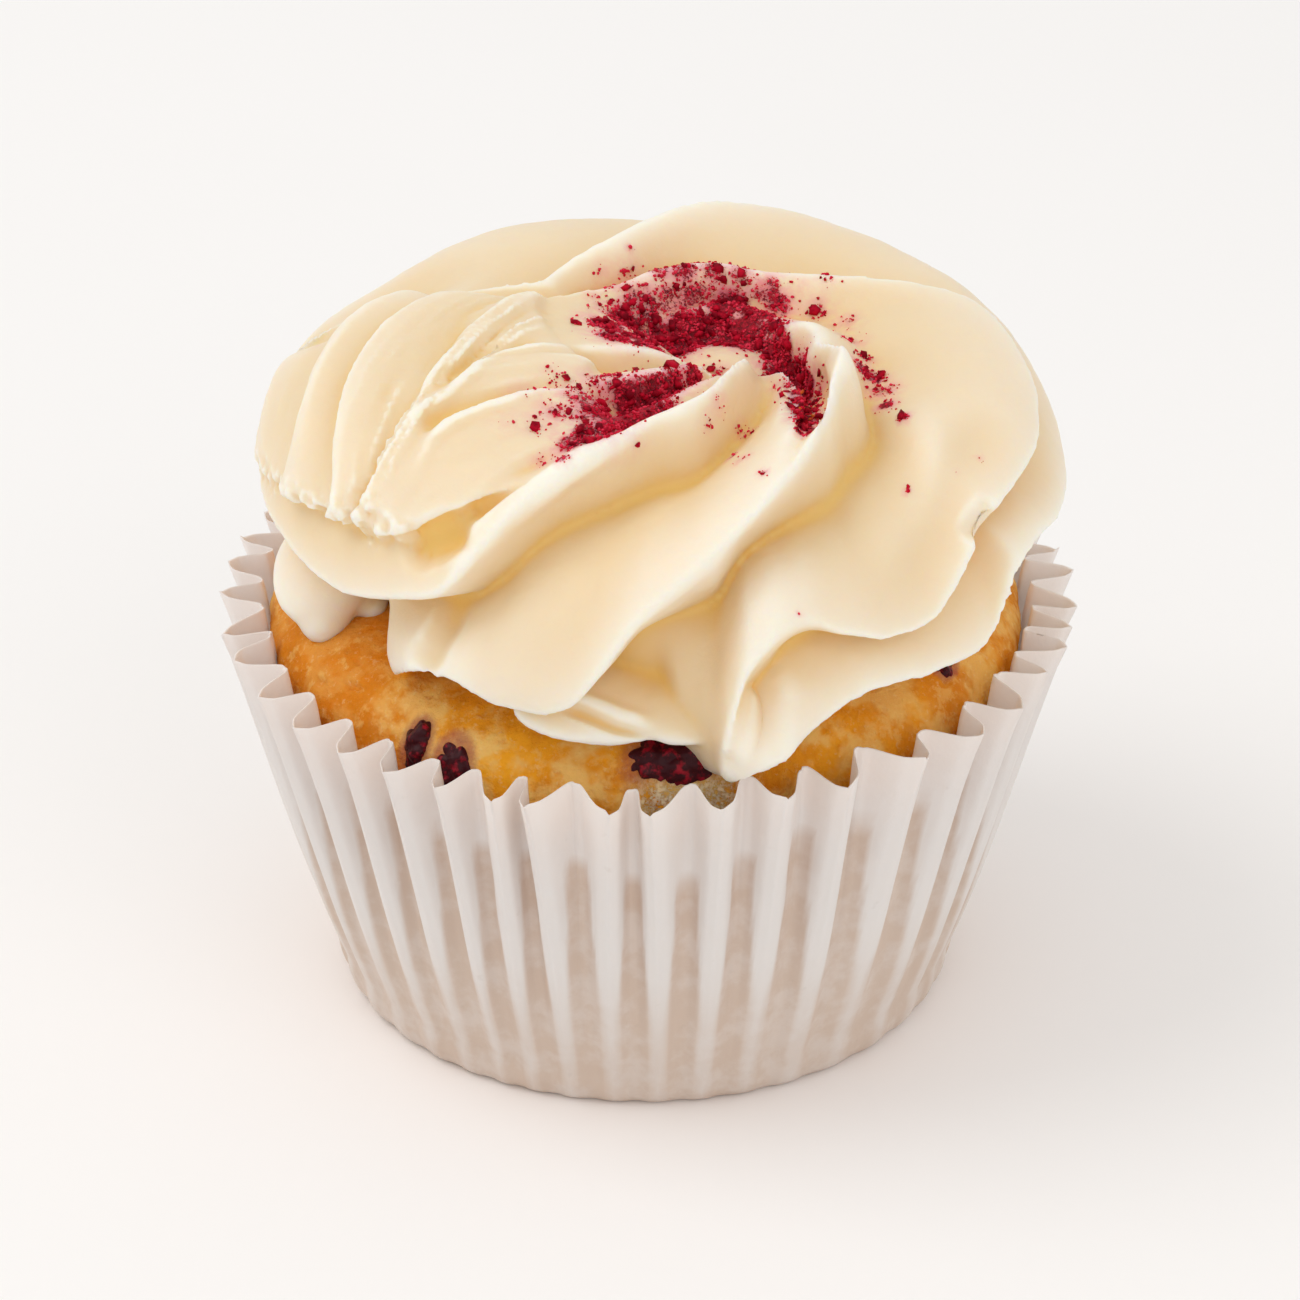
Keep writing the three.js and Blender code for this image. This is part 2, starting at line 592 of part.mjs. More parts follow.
// The tail's upper surface: "place" counts its ridges, t runs from the torn edge to its end.
function onTail(place, t) {
  const number = Math.min(Math.floor(place), TAIL.ridges.length - 2);
  const share = place - number;
  const [fromAzimuth, fromTurn] = throughThree(TAIL.ridges[number], t);
  const [toAzimuth, toTurn] = throughThree(TAIL.ridges[number + 1], t);
  const torn = TAIL.tear * (scatter(Math.round(place * TEAR_STEPS)) - 0.5) * (1 - t) ** TAIL.tearLength;
  const steep = TAIL.across[1];
  const even = share < steep ? 1 - share / steep : (share - steep) / (1 - steep);
  const rise = even * even * (3 - 2 * even);
  const { share: thickness, valley } = TAIL.ridges[number];
  const thick = THREE.MathUtils.lerp(thickness, TAIL.ridges[number + 1].share, share);
  return {
    azimuth: fromAzimuth + (toAzimuth - fromAzimuth) * share,
    turn: fromTurn + (toTurn - fromTurn) * share + torn,
    out: thick * along(TAIL.thickness, t) - valley * along(TAIL.depth, t) * (1 - rise),
  };
}

function tail() {
  const { across } = TAIL;
  const columns = (TAIL.ridges.length - 1) * across.length;
  const box = new THREE.BoxGeometry(1, 1, 1, columns, TAIL.rows, 1);
  return reshape(box, (vertex) => {
    const column = Math.round((vertex.x + 0.5) * columns);
    const place = Math.floor(column / across.length) + across[column % across.length];
    const { azimuth, turn, out } = onTail(place, (vertex.y + 0.5) ** TAIL.crowding);
    return onRope(azimuth, turn, vertex.z > 0 ? out : -TAIL.under);
  });
}

function fold({ middle, half, tilt, yaw }) {
  const ball = new THREE.SphereGeometry(1, ...BALL_STEPS);
  ball.rotateX(Math.PI / 2);
  ball.scale(...half);
  ball.rotateX(rad(tilt));
  ball.rotateZ(rad(yaw));
  return ball.translate(...middle);
}

function plug() {
  const [x, y] = SWIRL.hollow;
  const ball = new THREE.SphereGeometry(1, ...BALL_STEPS);
  ball.rotateX(Math.PI / 2);
  ball.scale(...PLUG.half);
  return ball.translate(x, y, PLUG.middleHeight);
}

// One flake, dropped from above on to the icing, or nothing if it would miss it.
function flake(number, ground) {
  const draw = (n) => scatter(number * 9 + n);
  const angle = 2 * Math.PI * draw(1);
  const distance = FLAKES.spread * draw(2) ** FLAKES.crowding;
  const x = FLAKES.middle[0] + distance * Math.cos(angle);
  const y = FLAKES.middle[1] + distance * Math.sin(angle);
  const ray = new THREE.Raycaster(new THREE.Vector3(x, y, SKY), new THREE.Vector3(0, 0, -1));
  const hit = ray.intersectObject(ground)[0];
  if (!hit) return null;
  const size = FLAKES.size[0] + (FLAKES.size[1] - FLAKES.size[0]) * draw(3) ** FLAKES.fineness;
  const grain = new THREE.IcosahedronGeometry(size, 0);
  const width = FLAKES.narrowest + (1 - FLAKES.narrowest) * draw(4);
  grain.scale(1, width, FLAKES.flatness);
  grain.rotateZ(Math.PI * draw(5));
  const facing = new THREE.Quaternion().setFromUnitVectors(
    new THREE.Vector3(0, 0, 1),
    hit.face.normal,
  );
  grain.applyQuaternion(facing);
  const centre = hit.point.addScaledVector(hit.face.normal, size * FLAKES.flatness * FLAKES.sunk);
  return grain.translate(centre.x, centre.y, centre.z);
}

function icing() {
  const pieces = [swirl(), tail(), plug(), ...FOLDS.map(fold)].map(solid);
  const plain = pieces.reduce((body, piece) => body.add(piece)).subtract(solid(sponge(GAP)));
  const ground = new THREE.Mesh(geometryOf(plain));
  let dusted = plain;
  for (let number = 0; number < FLAKES.count; number++) {
    const grain = flake(number, ground);
    if (grain) dusted = dusted.add(solid(grain));
  }
  return geometryOf(dusted);
}

// ---- The whole thing ----

function material(color, roughness) {
  return new THREE.MeshStandardMaterial({ color, roughness, metalness: 0 });
}

const PAPER = material(0xe9e2dd, 0.85);
const CRUMB = material(0xd9973f, 0.9);
const BUTTERCREAM = material(0xf6e6bd, 0.5);
const RASPBERRY = material(0x6b0f24, 0.5);

const cupcake = new THREE.Group();

function add(name, geometry, finish) {
  const mesh = new THREE.Mesh(geometry, finish);
  mesh.name = name;
  cupcake.add(mesh);
}

add("paper_case", paperCase(), PAPER);
const berries = Object.entries(BERRIES);
const pockets = berries.map(([, size]) => solid(berry(size, GAP)));
const crumb = pockets.reduce((body, pocket) => body.subtract(pocket), solid(sponge()));
add("sponge", geometryOf(crumb), CRUMB);
berries.forEach(([name, size]) => add(name, berry(size), RASPBERRY));
add("icing", icing(), BUTTERCREAM);

export default cupcake;
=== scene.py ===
"""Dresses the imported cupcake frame: a fine pleated paper case, a baked sponge with raspberry in
it, a piped buttercream swirl and the freeze-dried raspberry on top. Sizes are worked out in
millimetres and made metres where a mesh is written. Azimuths are degrees anticlockwise from +X."""

import math

import bmesh
import bpy
import numpy as np
from bpy.props import FloatProperty, FloatVectorProperty, IntProperty, PointerProperty
from mathutils import Matrix, Vector, kdtree, noise


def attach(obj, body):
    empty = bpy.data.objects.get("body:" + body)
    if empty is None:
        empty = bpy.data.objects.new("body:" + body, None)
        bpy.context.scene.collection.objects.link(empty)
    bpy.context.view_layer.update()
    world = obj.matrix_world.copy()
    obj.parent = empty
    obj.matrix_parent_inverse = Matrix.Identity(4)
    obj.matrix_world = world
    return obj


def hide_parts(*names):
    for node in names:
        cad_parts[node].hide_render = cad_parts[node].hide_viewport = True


bl_info = {
    "name": "Piped Cupcake",
    "version": (1, 0, 0),
    "blender": (4, 5, 0),
    "location": "3D View > Sidebar > Cupcake",
    "description": "Builds a cupcake with a piped raspberry buttercream swirl in a paper case",
    "category": "Object",
}

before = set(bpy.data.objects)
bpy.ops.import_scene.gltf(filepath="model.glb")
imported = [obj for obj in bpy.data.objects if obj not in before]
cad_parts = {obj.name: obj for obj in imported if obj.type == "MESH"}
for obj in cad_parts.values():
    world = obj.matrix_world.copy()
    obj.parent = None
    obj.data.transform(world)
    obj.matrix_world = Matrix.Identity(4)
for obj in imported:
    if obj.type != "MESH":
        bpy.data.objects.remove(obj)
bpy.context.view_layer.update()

MM = 0.001  # metres in a millimetre

# ---- Form of the swirl, in the ring's own coordinates ----

# Ridges that the star nozzle left on the rope: where each crest is round the section, in degrees
# up from the outer side, and how deep its steep outer side is. Each run lists an azimuth round
# the hollow and the value there, and so on. "sag" and "swell" say how much further the crest
# hangs down or stands out, "groove" how deep the valley before it is, at its share "spot".
RIDGES = (
    {
        "turn": (-180, 5, -163, 11, -144, 8, -138, 11, -133, 15, -127, 20, -123, 32, -119, 48,
            -115, 59, -110, 69, -104, 80, -97, 88, -92, 98, -86, 111, -60, 146, 0, 170, 180, 202),
        "drop": (-180, 3, -165, 5, -141, 6, -121, 6.5, -99, 6, -80, 4, -55, 1, 0, 0, 180, 0),
        "groove": (-135, 0, -118, 1.2, -100, 2, -85, 1.5, -60, 0),
        "steep": (-125, 9, -105, 18, -80, 26, 0, 20),
    },
    {
        "turn": (-180, -50, -165, -40, -151, -36, -143, -32, -137, -20, -132, -11, -125, -7,
            -120, -11, -115, -11, -110, -7, -105, 8, -101, 22, -95, 34, -83, 54, -70, 77, -63, 87,
            -53, 96, -41, 115, 0, 124, 34, 130, 76, 128, 130, 134, 180, 150),
        "drop": (-180, 2, -163, 4, -151, 4.5, -143, 4, -133, 5.5, -112, 7.5, -75, 7.5, -56, 7,
            -41, 5, -20, 4, 3, 3, 78, 2, 130, 1, 180, 0),
        "groove": (-82, 0, -72, 2, -64, 4.2, -55, 5.5, -40, 5.5, -20, 4.5, 20, 1.5, 60, 0),
        "spot": (-80, 0.95, -70, 0.88, -66, 0.76, -60, 0.66, -52, 0.54, -40, 0.48, 0, 0.45),
        "swell": (-180, 0, -165, -5, -149, -5, -141, 0, -75, 0, -62, 0.8, -56, 1.4, -49, 0.2,
            -40, -0.6, -20, -0.6, 0, 0),
        "steep": (-112, 8, -104, 11, -98, 19, -91, 23, -81, 27, -40, 26, 0, 18),
    },
    {
        "turn": (-180, -110, -120, -56, -105, -46, -97, -38, -92, -24, -89.5, 0, -87, 17, -83, 21,
            -79, 19, -74, 12, -67, 5, -61, 6, -56, 14, -51, 25, -47, 31, -39, 34, -28, 38, -19, 44,
            -2, 54, 17, 62, 30, 81, 44, 101, 80, 116, 131, 117, 180, 98),
        "drop": (-180, 1, -112, 2, -98, 2, -93, 0.8, -88, 0.8, -84, 2.4, -79, 3.8, -74, 4.6,
            -64, 5, -51, 5.5, -41, 5, -17, 4, 1, 3.5, 30, 3.2, 82, 3.5, 131, 3, 180, 0.5),
        "sag": (-106, 0, -97, 2.5, -91, 6, -86, 3.8, -79, 1, -70, 0),
        "swell": (-120, -3, -101, -3.4, -96.5, 0.9, -91, 2.6, -86, 2, -80, 0.6, -75, 0, -30, 0,
            0, -0.6, 60, -0.6, 90, 0),
        "groove": (-70, 0, -56, 1.0, -44, 1.2, -30, 0),
        "steep": (-98, 9, -88, 20, -60, 18, -40, 12, 0, 10),
    },
    {
        "turn": (-180, -158, -100, -66, -96, -56, -92, -38, -90, -26, -86, -20, -82, -18, -78, -17,
            -74, -14, -68, -11, -54, -13, -47, -11, -44, 0, -41, 11, -34, 14, -20, 12, 0, 12,
            26, 24, 50, 40, 82, 70, 112, 96, 131, 103, 158, 102, 170, 84, 180, 48),
        "drop": (-180, 1, -84, 3, -74, 6, -50, 6, -34, 5, 0, 4, 50, 4, 82, 5, 138, 4.5, 180, 1),
        "sag": (-100, 0, -94, 5, -90, 4.2, -86, 3.4, -82, 2.2, -77, 0.5, -72, 0),
        "swell": (-96, 0, -91, 3, -88, 3.8, -83, 3.8, -79, 2, -75, 0.5, -72, 0, -30, 0, 0, -1,
            60, -0.8, 100, 0),
    },
    {
        "turn": (-180, -210, -100, -135, -60, -98, 0, -52, 50, -18, 82, 10, 106, 28, 138, 40,
            158, 36, 180, 5),
        "drop": (-180, 0, -60, 1, 0, 3, 82, 4, 138, 4, 180, 3),
    },
    {
        "turn": (-180, -262, -152, -262, -143, -249, -130, -228, -110, -200, -90, -176, 0, -102,
            82, -52, 138, -40, 180, -50),
        "drop": (-180, 0.5, -150, 2.5, -120, 2.5, -80, 0.5, 0, 1, 82, 3, 180, 2),
    },
    {
        "turn": (-180, -312, -150, -297, -138, -281, -130, -272, -122, -263, -112, -249, -99, -222,
            -60, -180, 0, -148, 82, -108, 138, -98, 180, -110),
        "drop": (-180, 1, -138, 3, -120, 3, -99, 2, -60, 0.5, 0, 0, 180, 1),
    },
)
RIDGES_PER_ROUND = 4

# The rope's pressed-down end: for each of its ridges the azimuth and turn of its foot at the
# torn edge, of its middle and of its far end, its share of the thickness, and the depth of the
# valley after it.
TAIL_RIDGES = (
    ((229, 27), (237.6, 44), (257, 72), 0.75, 0.0),
    ((226.5, 27), (222.5, 53), (243, 92), 0.95, 0.5),
    ((224.5, 26), (215.5, 71), (229, 108), 0.95, 0.6),
    ((223, 25), (213, 75), (182, 107), 0.9, 1.0),
    ((220, 24), (208, 74), (158, 106), 1.0, 1.7),
    ((217, 24), (204, 50), (166, 88), 1.1, 1.5),
    ((206, 20), (196, 45), (162, 70), 0.95, 1.3),
    ((188, 13), (179, 29), (158, 46), 0.6, 1.0),
)
TAIL_THICKNESS = (0, 4.0, 0.6, 2.6, 0.88, 1.6, 1, -3)
TAIL_DEPTH = (0, 0.6, 0.5, 1.0, 1, 0.3)  # share of the valleys' depth along the ridges

# Lobes of the first layer below the swirl: middle, half sizes, and tilt and yaw in degrees.
FOLDS = (
    ((-26.8, -6.2, 40.5), (4.4, 5.6, 2.9), (27, -8)),
    ((-26.6, -7.6, 38.9), (2.7, 4.6, 2.7), (30, -8)),
    ((-25.6, 0.6, 41.6), (4.0, 8.0, 3.4), (6, -6)),
    ((-22.8, -8.0, 37.9), (1.3, 1.7, 1.3), (0, 0)),
    ((-2.5, -23.2, 38.4), (7.0, 5.2, 1.5), (0, -6)),
    ((1.5, -22.6, 40.6), (6.4, 5.8, 3.0), (0, -14)),
    ((-3.2, -28.9, 40.3), (7.6, 3.6, 1.3), (35, 0)),
    ((3.0, -28.8, 40.2), (4.4, 3.6, 1.3), (38, 12)),
    ((7.7, -32.5, 40.3), (1.2, 1.5, 4.2), (0, 0)),
    ((6.9, -32.0, 37.0), (1.2, 1.5, 2.0), (0, 0)),
)

# Degrees by which the paper's folds are shifted, at each even azimuth.
FOLD_SHIFT = (
    -180, 0, -151.4, 4.9, -143.2, 6.3, -126.8, 6.2, -118.6, 4.4, -102.3, 2.6, -77.7, 2.2,
    -61.4, 3.8, -53.2, 6.4, -45, 8.3, -36.8, 9.7, 0, 6, 90, 0, 180, 0,
)

# Pieces of raspberry in the sponge: azimuth, distance from the middle, half sizes.
BERRIES = {
    "raspberry_left_upper": (-127.5, 30.9, (1.3, 2.3, 1.4)),
    "raspberry_left_lower": (-120.4, 31.0, (1.9, 2.1, 1.4)),
    "raspberry_front": (-85, 29.3, (4.5, 2.4, 2.0)),
    "raspberry_right": (-31.5, 29.2, (1.5, 0.9, 1.1)),
}

# Creases and edges that the piping left on the icing: half width, height (less than 0 where it
# is a crease) and the points of its course.
CREASES = (
    # The trough beside the blade.
    (2.0, -1.5, (12.4, -4, 57), (12.9, -10, 60), (12.9, -15, 61.9), (12.9, -18, 61.7), (12.6, -23,
     61)),
    # The first panel's edge at the left, and the crease behind it.
    (1.7, 0.75, (-17, -31, 51.5), (-14.2, -28.2, 54.6), (-11.8, -27, 56.4), (-9, -26.2, 58.2),
     (-6.4, -25.4, 59.9), (-3.5, -24.3, 61), (1, -21.5, 61.8)),
    (1.4, -1.0, (-14.6, -27.2, 55.8), (-12.6, -26.2, 57.0), (-9.6, -25.1, 58.9), (-5.4, -23.5,
     60.7)),
    (1.9, -1.3, (-20.0, -27.0, 52.6), (-17.6, -27.2, 54.0), (-15.6, -27.4, 54.9), (-13.2, -27.6,
     56.2)),
    # Two more edges higher up on the torn end, each with its crease.
    (1.0, 0.6, (-18.9, -25, 57), (-17.1, -20.9, 60.5), (-14.2, -19.2, 61.6), (-9.1, -16.9, 62.2),
     (-4.5, -14.6, 61.8)),
    (1.3, -0.8, (-18.8, -23, 58.6), (-16.9, -19, 61.2), (-13.8, -17.6, 62), (-9, -15.4, 62.3),
     (-4.2, -13, 62)),
    (1.0, 0.55, (-19.1, -23.4, 58.4), (-17.9, -18.5, 61.3), (-15, -15.1, 62.5), (-12.2, -10.8,
     62.4), (-8.5, -8.7, 62.2), (-2.7, -5.6, 60.9)),
    (1.2, -0.7, (-18.6, -19, 61), (-15.4, -13.6, 62.6), (-12.4, -9, 62.5), (-7.6, -6.6, 62.2)),
    # The dip at the back, left of the highest part.
    (5.0, -2.3, (-30, 0.5, 57.2), (-27, 4.5, 58.3), (-24, 8, 58.5), (-20.5, 13, 58.3), (-15, 21,
     57.6)),
    # The notch at the right.
    (1.5, -0.9, (28.6, -20.6, 54), (27.1, -21.8, 53.2), (26, -23.4, 52)),
    # The fold in the tongue at the left of the front, and the spoon's face at its right.
    (1.9, -0.9, (-14, -22.4, 48), (-16, -26.1, 46.1), (-17.2, -27.1, 44.4), (-18.8, -26.6, 41.9)),
    (3.0, 0.6, (13.4, -30.2, 45), (10.4, -31.6, 42.8), (9.2, -33, 39.8), (8.2, -33.8, 35.6)),
    # The edge of the upper plate below the front, and the crease under it.
    (0.8, 0.5, (-8.4, -29.6, 42.8), (-4.6, -29.9, 41.4), (-2.0, -30.6, 40.5), (1.6, -31.2, 39.6)),
    (0.6, -0.7, (-8.6, -30.4, 42.0), (-4.9, -30.6, 40.5), (-2.4, -31.4, 39.6), (1.2, -31.8, 38.7)),
)

# Patches of raspberry on the icing: middle, radius, and share of it that is covered.
DUST = (
    (-2.4, -2.6, 60.4, 2.2, 0.8), (-0.1, -0.6, 58.9, 2.4, 1.0),
    (-3.0, 0.8, 60.0, 2.2, 0.9), (-1.5, 4.9, 58.0, 2.6, 0.95), (-0.2, 7.3, 58.6, 2.2, 0.75),
    (2.2, 4.6, 56.3, 3.2, 1.0), (2.2, 8.6, 58.4, 2.0, 0.65), (4.6, 9.3, 58.2, 2.4, 0.7),
    (6.9, 8.4, 58.1, 2.4, 1.0), (3.8, 5.8, 57.1, 3.0, 1.0), (6.2, 6.0, 56.7, 2.8, 1.0),
    (8.4, 5.0, 57.1, 2.6, 1.0), (9.5, 6.6, 58.4, 2.0, 0.95), (11.2, 8.6, 57.9, 1.5, 0.75),
    (10.3, 9.6, 59.0, 1.6, 0.7), (-2.3, 8.6, 60.0, 1.5, 0.45), (-0.9, 10.6, 60.0, 1.4, 0.5),
    (1.3, 10.4, 60.4, 1.5, 0.6), (3.4, 10.5, 60.3, 1.6, 0.7), (5.6, 10.6, 60.3, 1.5, 0.6),
    (8.2, 10.5, 60.1, 1.6, 0.55), (12.6, 9.4, 59.0, 1.2, 0.35), (14.4, 7.8, 58.0, 1.5, 0.4),
    (15.4, 10.3, 59.9, 0.8, 0.35), (16.9, 5.6, 57.7, 1.2, 0.45), (17.0, 1.9, 58.0, 1.3, 0.5),
    (10.6, 3.8, 57.6, 2.0, 1.0), (11.4, 2.0, 56.8, 1.9, 1.0), (11.6, 0.4, 55.6, 2.2, 1.0),
    (12.3, -1.4, 56.6, 2.0, 1.0), (12.9, -3.4, 57.0, 2.0, 1.0), (12.9, -5.4, 57.4, 1.9, 1.0),
    (13.2, -1.4, 54.5, 2.0, 1.0), (13.4, -3.0, 58.0, 1.5, 0.8), (12.9, -8.0, 58.4, 1.9, 1.0),
    (12.8, -10.6, 59.2, 1.7, 1.0), (12.8, -12.8, 59.9, 1.6, 1.0), (12.9, -15.0, 60.2, 1.6, 1.0),
    (12.9, -17.2, 60.3, 1.5, 1.0), (12.8, -19.4, 60.5, 1.3, 0.95), (12.5, -21.4, 60.8, 0.9, 0.8),
    (11.3, -9.8, 60.0, 1.0, 0.4), (4.0, -7.6, 59.2, 1.7, 1.0), (2.6, -8.6, 60.3, 1.5, 0.6),
    (2.6, -10.6, 59.7, 2.0, 1.0), (1.2, -12.2, 59.8, 2.2, 1.0), (-0.8, -13.6, 60.1, 2.4, 0.95),
    (-3.0, -13.6, 61.5, 2.0, 0.55), (-2.7, -15.4, 60.8, 2.2, 0.85), (-4.6, -17.0, 61.5, 2.2, 0.7),
    (1.0, -15.6, 60.6, 2.2, 1.0), (-0.4, -17.6, 60.6, 2.2, 1.0), (-2.6, -18.8, 60.5, 2.2, 0.95),
    (-4.4, -19.6, 60.4, 2.0, 0.85), (-6.6, -19.2, 61.7, 1.9, 0.5), (-6.0, -23.2, 60.8, 1.4, 0.75),
    (-8.4, -20.6, 61.6, 1.4, 0.35), (-3.3, -12.9, 61.6, 1.9, 0.6), (-5.2, -16.4, 61.8, 2.1, 0.6),
    (-4.2, -19.0, 61.3, 2.2, 0.75), (-2.6, -20.6, 60.9, 2.0, 0.85), (-4.2, -22.0, 61.1, 1.9, 0.8),
    (-6.6, -25.4, 60.9, 0.7, 0.7), (-8.2, -24.4, 60.0, 0.7, 0.4), (-1.2, -8.6, 60.6, 1.8, 0.3),
    (-9.4, -16.2, 62.0, 1.6, 0.25), (-10.8, -20.4, 60.8, 1.3, 0.25),
    (-6.8, -13.6, 62.4, 1.5, 0.25), (6.2, -1.2, 56.6, 1.2, 0.4), (-3.8, 10.8, 60.2, 0.8, 0.35),
    (-1.3, 12.8, 61.4, 0.4, 0.6), (-4.2, 6.2, 59.9, 0.9, 0.45), (18.1, -1.2, 58.0, 1.0, 0.55),
    (18.0, -4.0, 58.2, 1.2, 0.95), (19.0, -4.4, 57.6, 1.1, 0.7), (19.6, -6.8, 57.5, 1.4, 0.6),
    (19.8, -9.4, 57.5, 0.9, 0.85), (21.1, -12.6, 58.1, 0.55, 0.9), (6.0, -16.4, 61.2, 1.0, 0.35),
    (5.2, -18.4, 60.6, 0.9, 0.25), (8.0, -15.4, 58.2, 1.0, 0.35), (7.0, -20.0, 58.2, 0.6, 0.7),
    (7.7, -23.2, 59.4, 0.8, 0.5), (9.4, -26.5, 60.0, 0.4, 0.6), (21.1, -20.4, 55.4, 0.3, 0.9),
    (27.1, -16.6, 56.3, 0.25, 0.6), (25.2, -18.3, 56.1, 0.15, 0.5), (12.2, -32.4, 50.6, 0.2, 0.7),
    (-27.1, 0.5, 58.2, 0.25, 0.6),
)
# Where pale amber flakes lie among them.
AMBER = ((12.8, -10.4, 59.2, 1.2, 1.0), (12.9, -13.4, 60.0, 1.3, 1.0),
         (12.9, -16.0, 60.3, 1.1, 0.8))


# ---- Small tools ----


def rad(degrees):
    return np.radians(degrees)


def along(knots, x):
    """A smooth run through knots x, y, x, y, flat outside them and never past a knot's value."""
    kx, ky = np.reshape(knots, (-1, 2)).astype(float).T
    slope = np.diff(ky) / np.diff(kx)
    before, after = slope[:-1], slope[1:]
    total = np.where(before * after <= 0, 1, before + after)
    inner = np.where(before * after <= 0, 0, 2 * before * after / total)
    tangent = np.concatenate([slope[:1], inner, slope[-1:]])
    x = np.clip(x, kx[0], kx[-1])
    i = np.clip(np.searchsorted(kx, x, side="right") - 1, 0, len(kx) - 2)
    width = kx[i + 1] - kx[i]
    t = (x - kx[i]) / width
    start = ky[i] * (1 + 2 * t) * (1 - t) ** 2 + tangent[i] * width * t * (1 - t) ** 2
    return start + ky[i + 1] * t * t * (3 - 2 * t) - tangent[i + 1] * width * t * t * (1 - t)


def smooth_step(low, high, x):
    t = np.clip((x - low) / (high - low), 0, 1)
    return t * t * (3 - 2 * t)


def scatter(n):
    """A number between 0 and 1 that depends only on n."""
    s = np.sin(np.asarray(n, float) * 127.1 + 311.7) * 43758.5453
    return s - np.floor(s)


def round_axis(radius, angle, z):
    """Points at a distance from the middle of the case."""
    return np.stack([radius * np.cos(angle), radius * np.sin(angle), z], 1)


def scaled(point, half):
    """A point of a ball with these half sizes."""
    return Vector([point[i] * half[i] for i in range(3)])


def noise_at(points, size, seed):
    """Smooth noise between about -1 and 1 at points in mm, with lumps of about that size."""
    offset = Vector((seed, seed * 1.7, -seed))
    return np.array([noise.noise(Vector(p) / size + offset) for p in points.tolist()])


def points_of(mesh, kind="co"):
    flat = np.empty(len(mesh.vertices) * 3)
    mesh.vertices.foreach_get(kind, flat)
    return flat.reshape(-1, 3)


def normals_of(mesh):
    return points_of(mesh, "normal")


def place_points(mesh, points):
    mesh.vertices.foreach_set("co", np.ascontiguousarray(points, dtype=float).ravel())
    mesh.update()


def set_attributes(mesh, **attributes):
    for name, values in attributes.items():
        layer = mesh.attributes.new(name, "FLOAT", "POINT")
        layer.data.foreach_set("value", np.ascontiguousarray(values, dtype=np.float32))


def mesh_from(shape, name):
    """A mesh of a finished bmesh, which is freed."""
    mesh = bpy.data.meshes.new(name)
    shape.to_mesh(mesh)
    shape.free()
    return mesh


def ball_mesh(name, rounds, place):
    """A closed ball whose points place(point) gives in mm, as a mesh in metres."""
    ball = bmesh.new()
    bmesh.ops.create_icosphere(ball, subdivisions=rounds, radius=1)
    for vertex in ball.verts:
        vertex.co = place(vertex.co) * MM
    return mesh_from(ball, name)


def grid_shares(mesh, across, up):
    """How far across and up a plain grid its points are, from 0 to 1."""
    flat = points_of(mesh)
    return (np.round((flat[:, i] + 0.5) * count) / count for i, count in enumerate((across, up)))


def grid_mesh(name, across, up, place, merge=True):
    """A grid of across by up faces whose points place(u, v) gives in mm, as a mesh in metres.
    u and v run from 0 to 1, and points that fall together are joined."""
    sheet = bmesh.new()
    bmesh.ops.create_grid(sheet, x_segments=across, y_segments=up, size=0.5)
    mesh = mesh_from(sheet, name)
    place_points(mesh, place(*grid_shares(mesh, across, up)) * MM)
    if merge:
        close_mesh(mesh)
    return mesh


def close_mesh(mesh):
    closed = bmesh.new()
    closed.from_mesh(mesh)
    bmesh.ops.remove_doubles(closed, verts=closed.verts, dist=1e-7)
    bmesh.ops.recalc_face_normals(closed, faces=closed.faces)
    closed.to_mesh(mesh)
    closed.free()


def smoothed(mesh, rounds, points=None):
    """The mesh's points, or those given, after rounds of averaging with their neighbours."""
    points = points_of(mesh) if points is None else points
    edges = np.empty(len(mesh.edges) * 2, dtype=np.int64)
    mesh.edges.foreach_get("vertices", edges)
    a, b = edges.reshape(-1, 2).T
    count = np.bincount(np.concatenate([a, b]), minlength=len(points))[:, None]
    for _ in range(rounds):
        total = np.zeros_like(points)
        for axis in range(3):
            total[:, axis] = np.bincount(a, points[b, axis], len(points))
            total[:, axis] += np.bincount(b, points[a, axis], len(points))
        points = points + 0.5 * (total / np.maximum(count, 1) - points)
    return points


def put(name, data):
    """A new object in the scene."""
    made = bpy.data.objects.new(name, data)
    bpy.context.scene.collection.objects.link(made)
    return made


def modified(mesh, kind, **settings):
    """The mesh that one modifier makes of a mesh."""
    holder = put(mesh.name, mesh)
    modifier = holder.modifiers.new(kind, kind)
    for name, value in settings.items():
        setattr(modifier, name, value)
    depsgraph = bpy.context.evaluated_depsgraph_get()
    result = bpy.data.meshes.new_from_object(holder.evaluated_get(depsgraph))
    bpy.data.objects.remove(holder)
    return result


def fused(name, meshes, voxel):
    """One closed mesh round several closed meshes that overlap, with faces of about voxel mm."""
    joined = bmesh.new()
    for mesh in meshes:
        joined.from_mesh(mesh)
    return modified(mesh_from(joined, name), "REMESH", mode="VOXEL", voxel_size=voxel * MM)


def add_piece(name, mesh, finish, slot, *replaced):
    """Puts a finished mesh in the scene as a piece of the cupcake."""
    mesh.name = name
    mesh.materials.clear()
    mesh.materials.append(finish)
    mesh.shade_smooth()
    piece = put(name, mesh)
    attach(piece, "root")
    if replaced:
        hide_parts(*replaced)


# ---- Shader tools ----


class Amount:
    """A socket's number in a Python expression."""

    def __init__(self, finish, socket):
        self.finish = finish
        self.socket = socket

    def _math(self, operation, first, second):
        return self.finish.node("ShaderNodeMath", {"operation": operation}, {0: first, 1: second})

    def __add__(self, other):
        return self._math("ADD", self, other)

    __radd__ = __add__

    def __sub__(self, other):
        return self._math("SUBTRACT", self, other)

    def __rsub__(self, other):
        return self._math("SUBTRACT", other, self)

    def __mul__(self, other):
        return self._math("MULTIPLY", self, other)

    __rmul__ = __mul__


